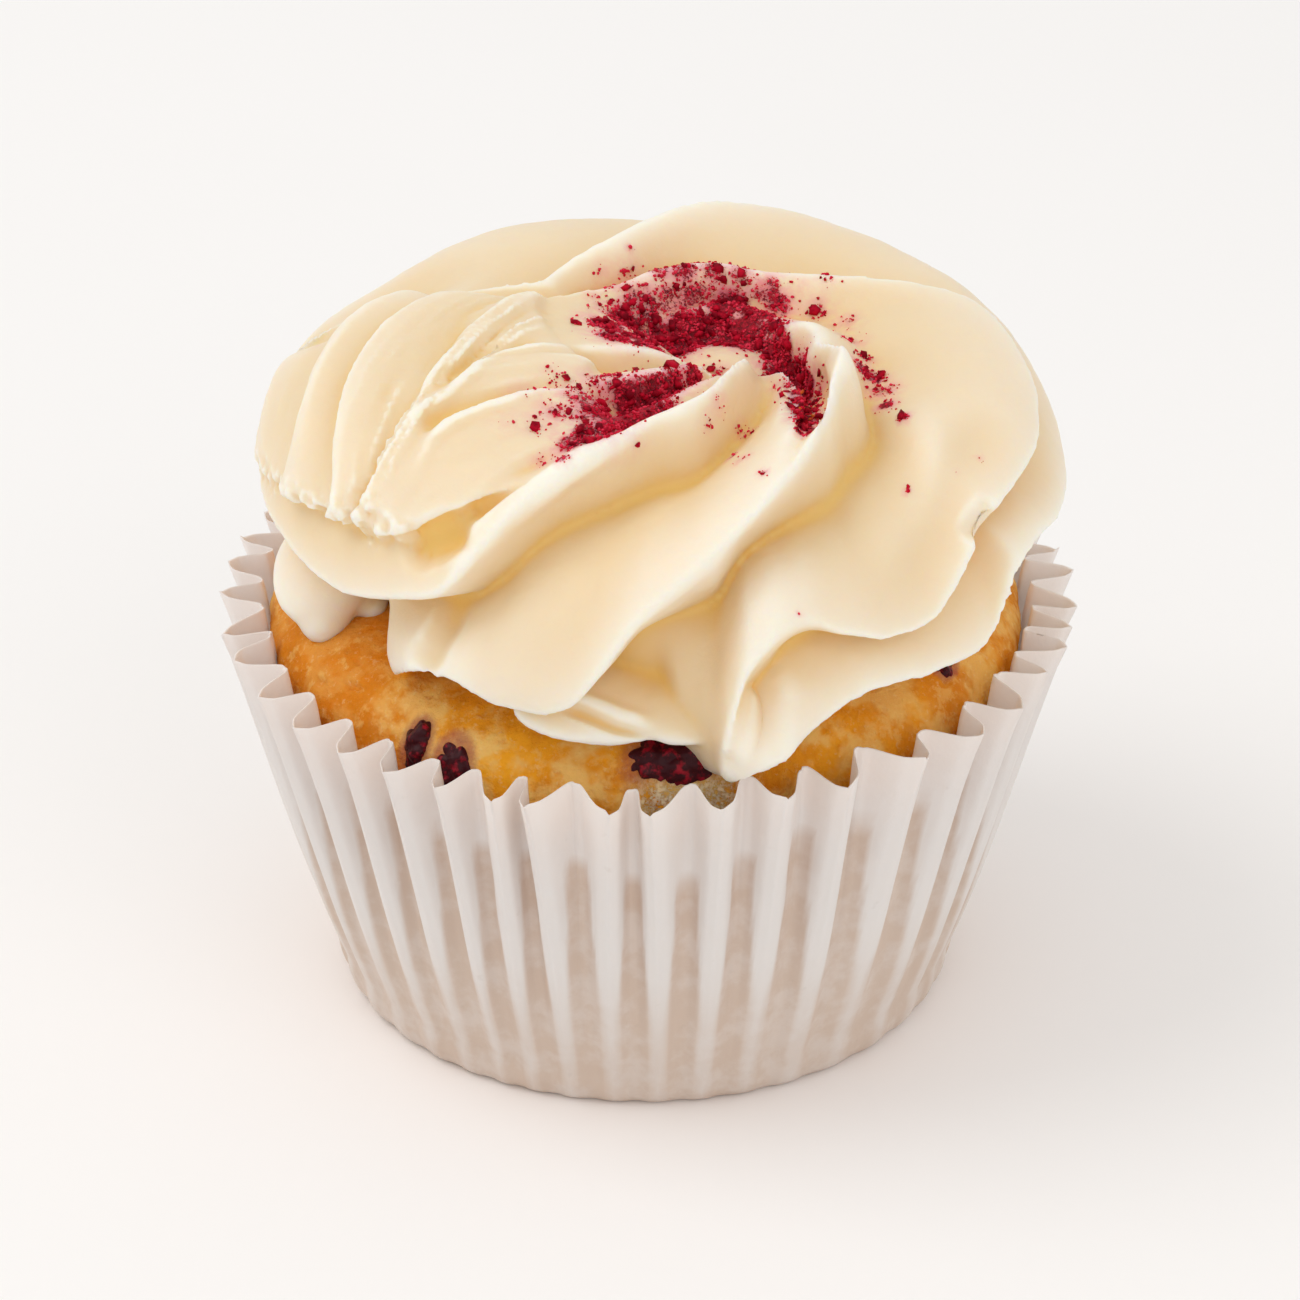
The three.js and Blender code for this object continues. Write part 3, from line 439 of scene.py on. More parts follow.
class Finish:
    """A material while it is being made."""

    def __init__(self, name):
        self.material = bpy.data.materials.new(name)
        self.material.use_nodes = True
        self.tree = self.material.node_tree
        self.shader = self.tree.nodes["Principled BSDF"]

    def node(self, kind, settings=None, values=None, output=0):
        """Adds a node, sets its settings and then its sockets, and returns one output."""
        made = self.tree.nodes.new(kind)
        for name, setting in (settings or {}).items():
            setattr(made, name, setting)
        for key, value in (values or {}).items():
            self.connect(made.inputs[key], value)
        return Amount(self, made.outputs[output])

    def connect(self, socket, value):
        if isinstance(value, Amount):
            self.tree.links.new(value.socket, socket)
        else:
            socket.default_value = (*value, 1) if socket.type == "RGBA" else value

    def surface(self, **values):
        """Sets the shader's sockets, named with _ for spaces."""
        for key, value in values.items():
            self.connect(self.shader.inputs[key.replace("_", " ")], value)

    def glow(self, weight, colour, reach):
        """Lets light of each colour run that share of reach mm under the surface."""
        reach *= MM
        self.surface(Subsurface_Weight=weight, Subsurface_Radius=colour, Subsurface_Scale=reach)

    def noise(self, size, detail, roughness=0.5):
        """Noise with lumps of about size mm."""
        place = self.node("ShaderNodeTexCoord", output="Object")
        values = {"Vector": place, "Scale": 1 / (size * MM), "Detail": detail}
        return self.node("ShaderNodeTexNoise", {}, values | {"Roughness": roughness}, "Fac")

    def attribute(self, name):
        return self.node("ShaderNodeAttribute", {"attribute_name": name}, output="Fac")

    def step(self, amount, low, high):
        """Runs smoothly from 0 at low to 1 at high."""
        values = {"Value": amount, "From Min": low, "From Max": high}
        return self.node("ShaderNodeMapRange", {"interpolation_type": "SMOOTHSTEP"}, values)

    def patches(self, low, high, *kind):
        """Patches of a kind of noise: 0 where it is below low and 1 above high."""
        return self.step(self.noise(*kind), low, high)

    def mix(self, amount, first, second):
        values = {0: amount, 6: first, 7: second}
        return self.node("ShaderNodeMix", {"data_type": "RGBA"}, values, 2)

    def layers(self, colour, *layers):
        """Mixes colours over the first one, each by its own amount."""
        for amount, layer in layers:
            colour = self.mix(amount, colour, layer)
        return colour

    def bump(self, height, distance, strength=1.0, below=None):
        values = {"Height": height, "Distance": distance * MM, "Strength": strength}
        if below is not None:
            values["Normal"] = below
        return self.node("ShaderNodeBump", {}, values)


# ---- Settings ----


def count_property(name, description, default):
    return IntProperty(name=name, description=description, default=default, min=3)


def amount_property(name, description, default):
    return FloatProperty(name=name, description=description, default=default, min=0)


def colour_property(name, description, default):
    return FloatVectorProperty(
        name=name, description=description, default=default, subtype="COLOR", min=0, max=1, size=3,
    )


def length_property(name, description, millimetres):
    return FloatProperty(
        name=name, description=description, default=millimetres * MM, unit="LENGTH", min=0,
        precision=5,
    )


class CUPCAKE_PG_case(bpy.types.PropertyGroup):
    """Sizes and colours of the paper case."""

    base_radius: length_property("Base radius", "Radius of the flat disc it stands on", 25)
    corner_height: length_property("Corner height", "Where the foot turns into the wall", 4)
    foot_radius: length_property("Foot radius", "Middle of the pleats above the foot", 26.9)
    rim_radius: length_property("Rim radius", "Middle of the pleats at the rim", 34.75)
    height: length_property("Height", "Height of the rim", 35)
    bulge: length_property("Bulge", "How far the wall swells out half way up", 0.9)
    thickness: length_property("Thickness", "Thickness of the paper", 0.14)
    rim_depth: length_property("Rim depth", "Half the depth of the pleats at the rim", 1.85)
    foot_depth: length_property("Foot depth", "Half the depth of the pleats at the foot", 0.12)
    pleats: count_property("Pleats", "Number of outer folds", 44)
    paper: colour_property("Paper", "Colour of the dry paper", (0.90, 0.815, 0.765))
    grease: colour_property("Grease", "Where it has soaked up butter", (0.67, 0.475, 0.36))


class CUPCAKE_PG_sponge(bpy.types.PropertyGroup):
    """Sizes and colours of the sponge and the raspberry baked into it."""

    edge_side: length_property("Side edge", "Height of its edge at the sides and back", 33.2)
    edge_front: length_property("Front edge", "Height of its edge at the front", 29.5)
    crown: length_property("Crown", "Top of the dome under the icing", 38.5)
    crust: colour_property("Crust", "Browned crust", (0.74, 0.235, 0.008))
    golden: colour_property("Golden", "Golden crust", (0.96, 0.42, 0.018))
    crumb: colour_property("Crumb", "Pale crumb that shows through", (0.95, 0.61, 0.19))
    berry: colour_property("Berry", "Baked raspberry", (0.042, 0.001, 0.005))


class CUPCAKE_PG_icing(bpy.types.PropertyGroup):
    """Sizes and colours of the buttercream, with the highlights and shade painted on it."""

    hollow_radius: length_property("Hollow radius", "Radius of the ring's hollow", 1.2)
    outline_radius: length_property("Outline radius", "Radius of the plain ring in plan", 32.6)
    middle_height: length_property("Middle height", "Height of the rope's middle", 46.5)
    half_height: length_property("Half height", "Half the rope's height", 14.0)
    voxel: length_property("Skin", "Fineness of the icing's skin", 0.34)
    fineness: FloatProperty(
        name="Kept faces", description="Share of the skin's faces that are kept", default=0.58,
        min=0.05, max=1, subtype="FACTOR",
    )
    # Crests is a painted highlight, and Panels and Valleys are painted shade, all on the one
    # buttercream colour.
    crest_highlight: colour_property("Crests", "Colour of its thin crests", (0.93, 0.85, 0.73))
    cream: colour_property("Buttercream", "Colour half way down", (0.85, 0.67, 0.425))
    panel: colour_property("Panels", "Colour of the low broad sides", (0.80, 0.525, 0.215))
    valley_shade: colour_property("Valleys", "Colour of its valleys", (0.92, 0.63, 0.18))
    stain: colour_property("Stain", "Where raspberry bleeds into it", (0.86, 0.24, 0.34))


class CUPCAKE_PG_dust(bpy.types.PropertyGroup):
    """Amounts and colours of the freeze-dried raspberry."""

    powder: count_property("Powder", "Grains of powder", 8000)
    flakes: count_property("Flakes", "Larger flakes", 620)
    ambers: count_property("Amber flakes", "Pale flakes", 20)
    crimson: colour_property("Crimson", "Colour of the powder", (0.53, 0.004, 0.024))
    bright: colour_property("Bright", "Colour of its finest grains", (0.82, 0.05, 0.10))
    dark: colour_property("Dark", "Colour of the flakes", (0.16, 0.001, 0.008))
    amber: colour_property("Amber", "Colour of the pale flakes", (0.62, 0.17, 0.01))


class CUPCAKE_PG_stage(bpy.types.PropertyGroup):
    """The floor, the light and the camera."""

    distance: length_property("Distance", "From the camera to the cake's middle", 500)
    elevation: FloatProperty(
        name="Elevation", description="Camera's angle above the floor",
        default=math.radians(28.79), subtype="ANGLE",
    )
    focal_length: amount_property("Focal length", "Camera's focal length, in mm", 161.73)
    aim: length_property("Aim", "Height that the camera looks at", 29.49)
    side: length_property("Side", "How far right of the middle it looks", 0.433)
    sky: amount_property("Sky", "Strength of the even light", 0.79)
    key_watts: amount_property("Key", "Light from above at the left, in W", 2.0)
    fill_watts: amount_property("Fill", "Light in front, in W", 1.12)
    floor: colour_property("Floor", "Colour of the floor", (0.95, 0.935, 0.925))


SETTINGS = {
    "cupcake_case": CUPCAKE_PG_case,
    "cupcake_sponge": CUPCAKE_PG_sponge,
    "cupcake_icing": CUPCAKE_PG_icing,
    "cupcake_dust": CUPCAKE_PG_dust,
    "cupcake_stage": CUPCAKE_PG_stage,
}


# ---- The paper case ----


def wall_radius(case, z):
    """Middle of the pleats at a height, in mm."""
    corner, height = case.corner_height / MM, case.height / MM
    base, foot, rim = case.base_radius / MM, case.foot_radius / MM, case.rim_radius / MM
    low = np.clip(z / corner, 0, 1)
    t = np.clip((z - corner) / (height - corner), 0, 1.1)
    rounded = base + (foot - base) * np.sqrt(low * (2 - low))
    straight = foot + (rim - foot) * t + case.bulge / MM * 4 * t * (1 - t) * (1 - t)
    return np.where(z < corner, rounded, straight)


def pleat_depth(case, z):
    """Half the depth of the pleats at a height, in mm."""
    t = np.clip(z * MM / case.height, 0, 1)
    return (case.foot_depth + (case.rim_depth - case.foot_depth) * t**1.6) / MM


def fold_wave(pleat):
    """1 at an outer fold, a sharp crease, and -1 at an inner one, a narrow round channel."""
    to_outer = 2 * np.abs(pleat - np.round(pleat))
    inward = 0.38 * np.sin(0.5 * np.pi * to_outer) + 0.62 * smooth_step(0.3, 0.86, to_outer)
    return 1 - 2 * inward


def build_case(case):
    """The wall runs up the outside and down the inside of the paper, and closes at the floor."""
    pleats, per_pleat = case.pleats, 22
    height, thickness = case.height / MM, case.thickness / MM
    outside = np.concatenate([
        [0, 0.05], np.linspace(0.3, case.corner_height / MM, 7), np.linspace(5.5, height - 1, 20),
        [height - 0.5, height - 0.15, height],
    ])
    inside = outside[::-1][:-2]
    z_row = np.concatenate([[0], outside, inside, [thickness, thickness]])
    inset = np.concatenate([[0] * (1 + len(outside)), [1] * (len(inside) + 2)]) * thickness
    reach = np.ones(len(z_row))
    reach[0] = reach[-1] = 0
    reach[1] = 0.97
    reach[-2] = 0.96

    def place(u, v):
        row = np.round(v * (len(z_row) - 1)).astype(int)
        z, pleat = z_row[row], u * pleats
        even = np.where(u > 0.5, u - 1, u) * 360
        outer, inner = np.round(pleat) % pleats, np.round(pleat - 0.5) % pleats
        own = scatter(outer) - 0.5
        wave = fold_wave(pleat)
        azimuth = rad(even + along(FOLD_SHIFT, even))
        to_rim = np.clip(z / height, 0, 1)
        sway = 0.25 * np.sin(3 * azimuth + 1) + 0.18 * np.sin(7 * azimuth)
        radius = wall_radius(case, z) + pleat_depth(case, z) * wave * (1 + 0.22 * own)
        radius += sway * to_rim**3 - inset[row]
        wrinkle = np.sin(z * 0.9 + 9 * scatter(inner + 50))
        radius += 0.07 * wrinkle * smooth_step(0.2, 0.8, to_rim) * (wave < 0)
        lean = 0.45 * (scatter(outer + 90) - 0.5) * to_rim**2
        azimuth = azimuth + lean * 2 * np.pi / pleats * (1 + wave) * 0.5
        tip = (0.55 * (1 - wave) * 0.5 - 0.25) + 0.5 * (scatter(inner) - 0.5)
        z = z + tip * np.clip((to_rim - 0.9) / 0.1, 0, 1) * (z >= height - 1)
        return round_axis(radius * reach[row], azimuth, z)

    mesh = grid_mesh("paper_case", pleats * per_pleat, len(z_row) - 1, place, merge=False)
    # Butter soaks the paper where it lies on the cake: the inner folds, up to the sponge's edge.
    flat = points_of(mesh) / MM
    angle = np.arctan2(flat[:, 1], flat[:, 0])
    radius = np.hypot(flat[:, 0], flat[:, 1])
    ripple = radius - wall_radius(case, flat[:, 2])
    wave = np.clip(ripple / np.maximum(pleat_depth(case, flat[:, 2]), 0.2), -1.3, 1.3)
    top = 27.3 + 1.2 * np.sin(5 * angle) + 0.9 * np.sin(11 * angle + 2)
    reach_out = -0.35 + 1.15 * smooth_step(26, 6, flat[:, 2])
    edge = 0.22 + 0.5 * smooth_step(22, 3, flat[:, 2])
    soaked = smooth_step(edge, -edge, wave - reach_out) * smooth_step(0.9, -1.2, flat[:, 2] - top)
    soaked = np.maximum(soaked, 0.6 * smooth_step(18, 3, flat[:, 2]))
    set_attributes(mesh, soaked=soaked)
    close_mesh(mesh)
    return mesh


def paper_finish(case):
    finish = Finish("greaseproof paper")
    soaked = finish.attribute("soaked") * (0.72 + 0.28 * finish.patches(0.35, 0.6, 3, 4, 0.6))
    colour = finish.layers(
        case.paper,
        (soaked * 0.85, case.grease),
        (finish.patches(0.68, 0.8, 1.3, 2) * 0.12, (0.5, 0.38, 0.3)),
    )
    normal = finish.bump(finish.noise(0.35, 4, 0.7), 0.03)
    normal = finish.bump(finish.noise(2.2, 2), 0.25, 0.6, normal)
    finish.surface(Base_Color=colour, Roughness=0.72, Normal=normal)
    finish.glow(0.35, (1.0, 0.8, 0.7), 1.2)
    return finish.material


class CUPCAKE_OT_case(bpy.types.Operator):
    """Makes the pleated paper case"""

    bl_idname = "cupcake.case"
    bl_label = "Paper Case"

    def execute(self, context):
        case = context.scene.cupcake_case
        add_piece("paper_case_fine", build_case(case), paper_finish(case), "paper", "paper_case")
        return {"FINISHED"}


# ---- The sponge ----


def sponge_edge(sponge, angle):
    """Height of the sponge's edge, lower at the front."""
    front = np.maximum(0, np.cos(angle + np.pi / 2))
    return (sponge.edge_side + (sponge.edge_front - sponge.edge_side) * front**1.5) / MM


def sponge_radius(case, z):
    """Just inside the inner folds."""
    return wall_radius(case, z) - pleat_depth(case, z) * 0.95 - 0.65


def sponge_top(sponge, angle, share):
    """Height of the dome at a share of the way out to its edge."""
    edge, crown = sponge_edge(sponge, angle), sponge.crown / MM
    flat, fall = 0.7, 0.6  # share of the way that is nearly flat, and how far it falls there
    t = np.clip((share - flat) / 0.3, 0, 1)
    dome = edge + (crown - fall - edge) * np.sqrt(np.maximum(0, 1 - t**2.6))
    return np.where(share < flat, crown - fall * (share / flat) ** 2, dome)


def build_sponge(case, sponge):
    wall = np.array([0.0, 0.03, 0.1, 0.2, 0.4, 0.6, 0.75, 0.86, 0.93, 0.97, 1.0])
    cap = np.concatenate([1 - np.linspace(0.003, 0.35, 56) ** 1.15, [0.6, 0.4, 0.2, 0.0]])
    rows = 1 + len(wall) + len(cap)
    foot = 0.7  # height of its underside

    def place(u, v):
        row = np.round(v * (rows - 1)).astype(int)
        angle = 2 * np.pi * (u % 1.0)
        edge = sponge_edge(sponge, angle)
        on_wall = np.clip(row - 1, 0, len(wall) - 1)
        z_wall = foot + (edge - foot) * wall[on_wall]
        r_wall = np.where(row == 1, case.base_radius / MM - 1.5, sponge_radius(case, z_wall))
        share = cap[np.clip(row - 1 - len(wall), 0, len(cap) - 1)]
        r_cap = sponge_radius(case, edge) * share
        in_cap = row > len(wall)
        radius = np.where(row == 0, 0, np.where(in_cap, r_cap, r_wall))
        z = np.where(row == 0, foot, np.where(in_cap, sponge_top(sponge, angle, share), z_wall))
        return round_axis(radius, angle, z)

    mesh = grid_mesh("sponge", 420, rows - 1, place)
    points, normals = points_of(mesh), normals_of(mesh)
    flat = points / MM
    shown = smooth_step(25, 27, flat[:, 2])
    lumps = 0.22 * noise_at(flat, 4.0, 3) + 0.12 * noise_at(flat, 1.6, 7)
    lumps += 0.06 * noise_at(flat, 0.7, 1)
    pits = -0.35 * smooth_step(0.42, 0.75, noise_at(flat, 1.1, 12))
    place_points(mesh, points + normals * ((lumps + pits) * shown * MM)[:, None])
    angle = np.degrees(np.arctan2(flat[:, 1], flat[:, 0]))
    halo = np.zeros(len(flat))
    for azimuth, radius, half in BERRIES.values():
        out = np.array([math.cos(rad(azimuth)), math.sin(rad(azimuth))])
        offset = (flat[:, :2] - radius * out) @ np.array([out, (-out[1], out[0])]).T
        away = np.hypot(offset[:, 0] / (0.75 * half[1] + 0.3), offset[:, 1] / (half[0] + 0.3))
        halo = np.maximum(halo, smooth_step(1.35, 0.75, away))
    frost = smooth_step(-2, 1, flat[:, 0]) * smooth_step(9, 6, flat[:, 0]) * (flat[:, 1] < 0)
    frost *= smooth_step(29.8, 31.0, np.hypot(flat[:, 0], flat[:, 1]))
    # Darker towards the left, at the back and partly at the front right: more crust colour and
    # fewer pale flecks there.
    browned = smooth_step(-118, -150, angle) * (angle < 0) + (angle > 20) * 0.6
    browned = np.maximum(browned, 0.45 * smooth_step(-70, -40, angle))
    set_attributes(mesh, halo=halo, frost=frost, browned=np.clip(browned, 0, 1))
    return mesh


def sponge_finish(sponge):
    finish = Finish("baked sponge")
    browned = finish.attribute("browned")
    cloud = finish.noise(6, 4, 0.6)
    fleck = finish.noise(1.5, 4, 0.65)
    pale = finish.patches(0.42, 0.60, 3.6, 3, 0.6) * (1 - 0.75 * browned)
    sugar = finish.attribute("frost")
    frost = sugar * finish.patches(0.4, 0.56, 0.45, 4, 0.8)
    damp = finish.attribute("halo") * (1 - sugar) + 0.7 * finish.noise(0.6, 4, 0.8)
    colour = finish.layers(
        sponge.golden,
        (finish.step(cloud + 0.5 * browned, 0.35, 0.85), sponge.crust),
        (finish.patches(0.42, 0.7, 2.4, 4, 0.65) * 0.45, (0.62, 0.19, 0.008)),
        (pale * 0.85, sponge.crumb),
        (finish.step(fleck, 0.53, 0.66) * 0.4, sponge.crumb),
        (finish.patches(0.58, 0.7, 0.5, 3, 0.6) * 0.25, (0.97, 0.76, 0.40)),
        (finish.step(damp, 0.6, 1.6) * 0.75, (0.36, 0.06, 0.07)),
        (frost, (1.0, 0.80, 0.56)),
    )
    normal = finish.bump(finish.noise(0.5, 4, 0.7), 0.14)
    normal = finish.bump(fleck, 0.4, 0.9, normal)
    normal = finish.bump(frost, 0.12, 1.0, normal)
    finish.surface(Base_Color=colour, Roughness=0.62, Normal=normal, Specular_IOR_Level=0.12)
    finish.glow(0.25, (1.0, 0.5, 0.2), 2)
    return finish.material


class CUPCAKE_OT_sponge(bpy.types.Operator):
    """Makes the sponge"""

    bl_idname = "cupcake.sponge"
    bl_label = "Sponge"

    def execute(self, context):
        scene = context.scene
        mesh = build_sponge(scene.cupcake_case, scene.cupcake_sponge)
        add_piece("sponge_fine", mesh, sponge_finish(scene.cupcake_sponge), "sponge", "sponge")
        return {"FINISHED"}


# ---- Raspberry baked into the sponge ----


def build_berry(case, sponge, azimuth, radius, half):
    """A squashed piece of raspberry: round drupelets pushed together, half sunk in the crumb."""
    angle = rad(azimuth)
    edge_radius = sponge_radius(case, sponge_edge(sponge, angle))
    share = radius / edge_radius
    height = float(sponge_top(sponge, angle, share))
    lower = float(sponge_top(sponge, angle, min(1, share + 0.03)))
    slope = math.atan2(height - lower, 0.03 * edge_radius)
    turn = (
        Matrix.Translation((radius * math.cos(angle), radius * math.sin(angle), height))
        @ Matrix.Rotation(angle - math.pi / 2, 4, "Z")
        @ Matrix.Rotation(-slope, 4, "X")
    )
    drupelet = 0.62  # its radius

    def place(unit):
        size = scaled(unit, half)
        cell = noise.voronoi(size / (2 * drupelet) + Vector((azimuth, radius, 0)))[0]
        bump = 0.34 * (1 - min(1.0, cell[0] / max(1e-3, cell[1]))) - 0.12
        torn = 0.35 * noise.noise(size * 0.9 + Vector((radius, azimuth, 3)))
        point = size + unit * (bump + torn)
        point.z -= half[2] * 0.62
        return turn @ point

    return ball_mesh("raspberry", 5, place)


def berry_finish(sponge):
    finish = Finish("baked raspberry")
    ripe = finish.patches(0.5, 0.7, 0.8, 3, 0.6)
    colour = finish.mix(ripe, sponge.berry, (0.34, 0.005, 0.02))
    normal = finish.bump(finish.noise(0.5, 3, 0.6), 0.08)
    finish.surface(Base_Color=colour, Roughness=0.42, Normal=normal, Specular_IOR_Level=0.2)
    return finish.material


class CUPCAKE_OT_berries(bpy.types.Operator):
    """Makes the pieces of raspberry in the sponge"""

    bl_idname = "cupcake.berries"
    bl_label = "Baked Raspberries"

    def execute(self, context):
        scene = context.scene
        finish = berry_finish(scene.cupcake_sponge)
        for name, (azimuth, radius, half) in BERRIES.items():
            mesh = build_berry(scene.cupcake_case, scene.cupcake_sponge, azimuth, radius, half)
            add_piece(name + "_fine", mesh, finish, "raspberry", name)
        return {"FINISHED"}


# ---- The icing ----

HOLLOW = (6.5, 1.5)
OUTLINE_MIDDLE = (1.9, 0.3)
UNDER_SQUARENESS = 1.7  # of the rope's lower half
# How full and how high the rope's upper half is, at azimuths round the hollow.
SQUARENESS = (
    -180, 2.9, -135, 2.6, -90, 2.3, -45, 2.6, 0, 2.8, 30, 2.8, 60, 2.7, 95, 2.1, 125, 2.2,
    150, 2.1, 180, 2.9,
)
HALF_HEIGHT = (
    -180, 14.2, -90, 14, -45, 13.7, 0, 13.2, 30, 12.7, 60, 12.9, 95, 14.0, 125, 14.1, 150, 13.5,
    180, 14.2,
)
LEAN = 0.3  # how far a crest hangs down, as a share of its drop
CREST_SHARE = 0.38  # share of the drop that stands out from the plain rope
DROP_SHARE = 0.1  # share of the way to the next ridge that the steep side takes
STEEP = 9  # degrees round the section that the steep side takes
TAIL_UNDERSIDE = -5.0
TONGUE_START, TONGUE_FOOT = -28, 34.9  # the front tongue's first y and lowest z


def on_rope(icing, azimuth, turn, out, down=0.0):
    """Points on the plain rope, raised by out and slid down round its section, in mm."""
    angle = rad(azimuth)
    hx, hy = HOLLOW
    ox, oy = hx - OUTLINE_MIDDLE[0], hy - OUTLINE_MIDDLE[1]
    ahead = ox * np.cos(angle) + oy * np.sin(angle)
    outer = -ahead + np.sqrt(ahead**2 + (icing.outline_radius / MM) ** 2 - ox**2 - oy**2)
    hollow = icing.hollow_radius / MM
    half, middle = (outer - hollow) / 2, (outer + hollow) / 2
    c, s = np.cos(rad(turn)), np.sin(rad(turn))
    azimuth = (azimuth + 180) % 360 - 180
    n = np.where(s > 0, along(SQUARENESS, azimuth), UNDER_SQUARENESS)
    k = (np.abs(c) ** n + np.abs(s) ** n) ** (-1 / n)
    tall = np.where(s > 0, along(HALF_HEIGHT, azimuth), icing.half_height / MM)
    r = middle + half * c * k + out * c + down * s
    z = icing.middle_height / MM + tall * s * k + out * s - down * c
    return np.stack([hx + r * np.cos(angle), hy + r * np.sin(angle), z], 1)


def ridge_at(number, azimuth):
    """Turn, drop, sag, swell, groove, steepness and spot of a ridge whose number may run past
    the list."""
    rounds, index = divmod(number, len(RIDGES))
    ridge = RIDGES[index]
    plain = {"sag": 0, "swell": 0, "groove": 0, "steep": STEEP, "spot": 0.75}
    turn = along(ridge["turn"], azimuth) - 360 * rounds
    drop = along(ridge["drop"], azimuth)
    return turn, drop, *(
        along(ridge.get(key, (-180, plain[key], 180, plain[key])), azimuth)
        for key in plain
    )


def on_swirl(icing, azimuth, place):
    """Points of the swirl. place counts ridges: whole numbers are crests."""
    turn, out, hang = (np.empty(len(place)) for _ in range(3))
    for number in range(int(np.floor(place.min())), int(np.floor(place.max())) + 1):
        here = np.floor(place) == number
        share = place[here] - number
        top, drop, sag, swell, _, steep, _ = ridge_at(number, azimuth[here])
        low, next_drop, next_sag, next_swell, groove, _, spot = ridge_at(number + 1, azimuth[here])
        span = top - low
        steep = np.minimum(steep, 0.38 * span)
        t = np.clip(share / DROP_SHARE, 0, 1)
        fall_out = drop * (CREST_SHARE - (3 - 2 * t) * t * t) + swell * (1 - t)
        common = np.minimum(sag, next_sag)
        fall_hang = (LEAN * drop + sag) * (1 - t) + common * t
        fall_turn = top - steep * t
        t = np.clip((share - DROP_SHARE) / (1 - DROP_SHARE), 0, 1)
        rise = 0.35 * t + 0.65 * t * t * (3 - 2 * t)
        next_out = next_drop * CREST_SHARE + next_swell
        rise_out = drop * (CREST_SHARE - 1) * (1 - rise) + next_out * rise
        rise_out -= groove * np.exp(-(((t - spot) / (1.02 - spot) * 1.7) ** 2))
        rise_hang = (LEAN * next_drop + next_sag) * t**3 + common * (1 - t**3)
        rise_turn = top - steep - (span - steep) * t
        falling = share < DROP_SHARE
        turn[here] = np.where(falling, fall_turn, rise_turn)
        out[here] = np.where(falling, fall_out, rise_out)
        hang[here] = np.where(falling, fall_hang, rise_hang)
    return on_rope(icing, azimuth, turn, out, hang)


def build_swirl(icing):
    steep, rise = np.linspace(0, DROP_SHARE, 6), np.linspace(DROP_SHARE, 1, 20)
    per_ridge = np.concatenate([steep[:-1], rise[:-1]])
    count = len(per_ridge)

    def place(u, v):
        column = np.round(v * count * len(RIDGES)).astype(int)
        at_seam = u > 1 - 1e-9
        ridge = column // count - np.where(at_seam, RIDGES_PER_ROUND, 0)
        azimuth = np.where(at_seam, -180.0, -180 + 360 * u)
        return on_swirl(icing, azimuth, ridge + per_ridge[column % count])

    return grid_mesh("swirl", 400, count * len(RIDGES), place)


def on_tail(icing, u, t, out=None):
    """Points of the torn end's upper face: u runs across its ridges and t along them."""
    table = np.array([[*foot, *middle, *end, *rest] for foot, middle, end, *rest in TAIL_RIDGES])
    place = u * (len(table) - 1)
    number = np.minimum(np.floor(place).astype(int), len(table) - 2)
    share = place - number
    here, after = table[number].T, table[number + 1].T

    def bend(foot, middle, end):
        pull = 2 * middle - (foot + end) / 2
        return foot * (1 - t) ** 2 + 2 * pull * t * (1 - t) + end * t * t

    azimuth, turn = (
        bend(*here[i:6:2]) * (1 - share) + bend(*after[i:6:2]) * share for i in range(2)
    )
    turn += 2.0 * np.sin(place * 9) * np.sin(place * 23 + 1) * (1 - t) ** 6
    thick = here[6] * (1 - share) + after[6] * share
    rise = np.where(share < 0.2, 1 - share / 0.2, (share - 0.2) / 0.8)
    rise = rise * rise * (3 - 2 * rise)
    torn = 1 - 0.2 * (1 - t) ** 50
    top = thick * torn * along(TAIL_THICKNESS, t) - here[7] * along(TAIL_DEPTH, t) * (1 - rise)
    return on_rope(icing, azimuth, turn, top if out is None else out)


def build_tail(icing):
    """The torn end of the rope: a slab whose upper face has fine ridges fanning out."""
    slab = bmesh.new()
    across, rows = 24 * (len(TAIL_RIDGES) - 1), 70
    bmesh.ops.create_grid(slab, x_segments=across, y_segments=rows, size=0.5)
    under = bmesh.ops.extrude_face_region(slab, geom=slab.faces[:])
    for element in under["geom"]:
        if isinstance(element, bmesh.types.BMVert):
            element.co.z = -1
    mesh = mesh_from(slab, "tail")
    u, v = grid_shares(mesh, across, rows)
    upper, lower = on_tail(icing, u, v**1.3), on_tail(icing, u, v**1.3, TAIL_UNDERSIDE)
    place_points(mesh, np.where(points_of(mesh)[:, 2:] < -0.5, lower, upper) * MM)
    close_mesh(mesh)
    return mesh


def crease_height(flat):
    """How far the creases and edges raise places in mm."""
    height = np.zeros(len(flat))
    for half, amount, *course in CREASES:
        course = np.array(course, dtype=float)
        reach = 1.25 * half
        near = ((flat > course.min(0) - reach) & (flat < course.max(0) + reach)).all(1)
        some = flat[near]
        away, share = np.full(len(some), 1e3), np.zeros(len(some))
        for number, (start, end) in enumerate(zip(course[:-1], course[1:])):
            step = end - start
            t = np.clip((some - start) @ step / (step @ step), 0, 1)
            here = np.linalg.norm(some - start - t[:, None] * step, axis=1)
            share = np.where(here < away, (number + t) / (len(course) - 1), share)
            away = np.minimum(away, here)
        taper = smooth_step(0, 0.3, share) * smooth_step(1, 0.7, share)
        height[near] += amount * taper * smooth_step(reach, 0.1 * half, away)
    return height


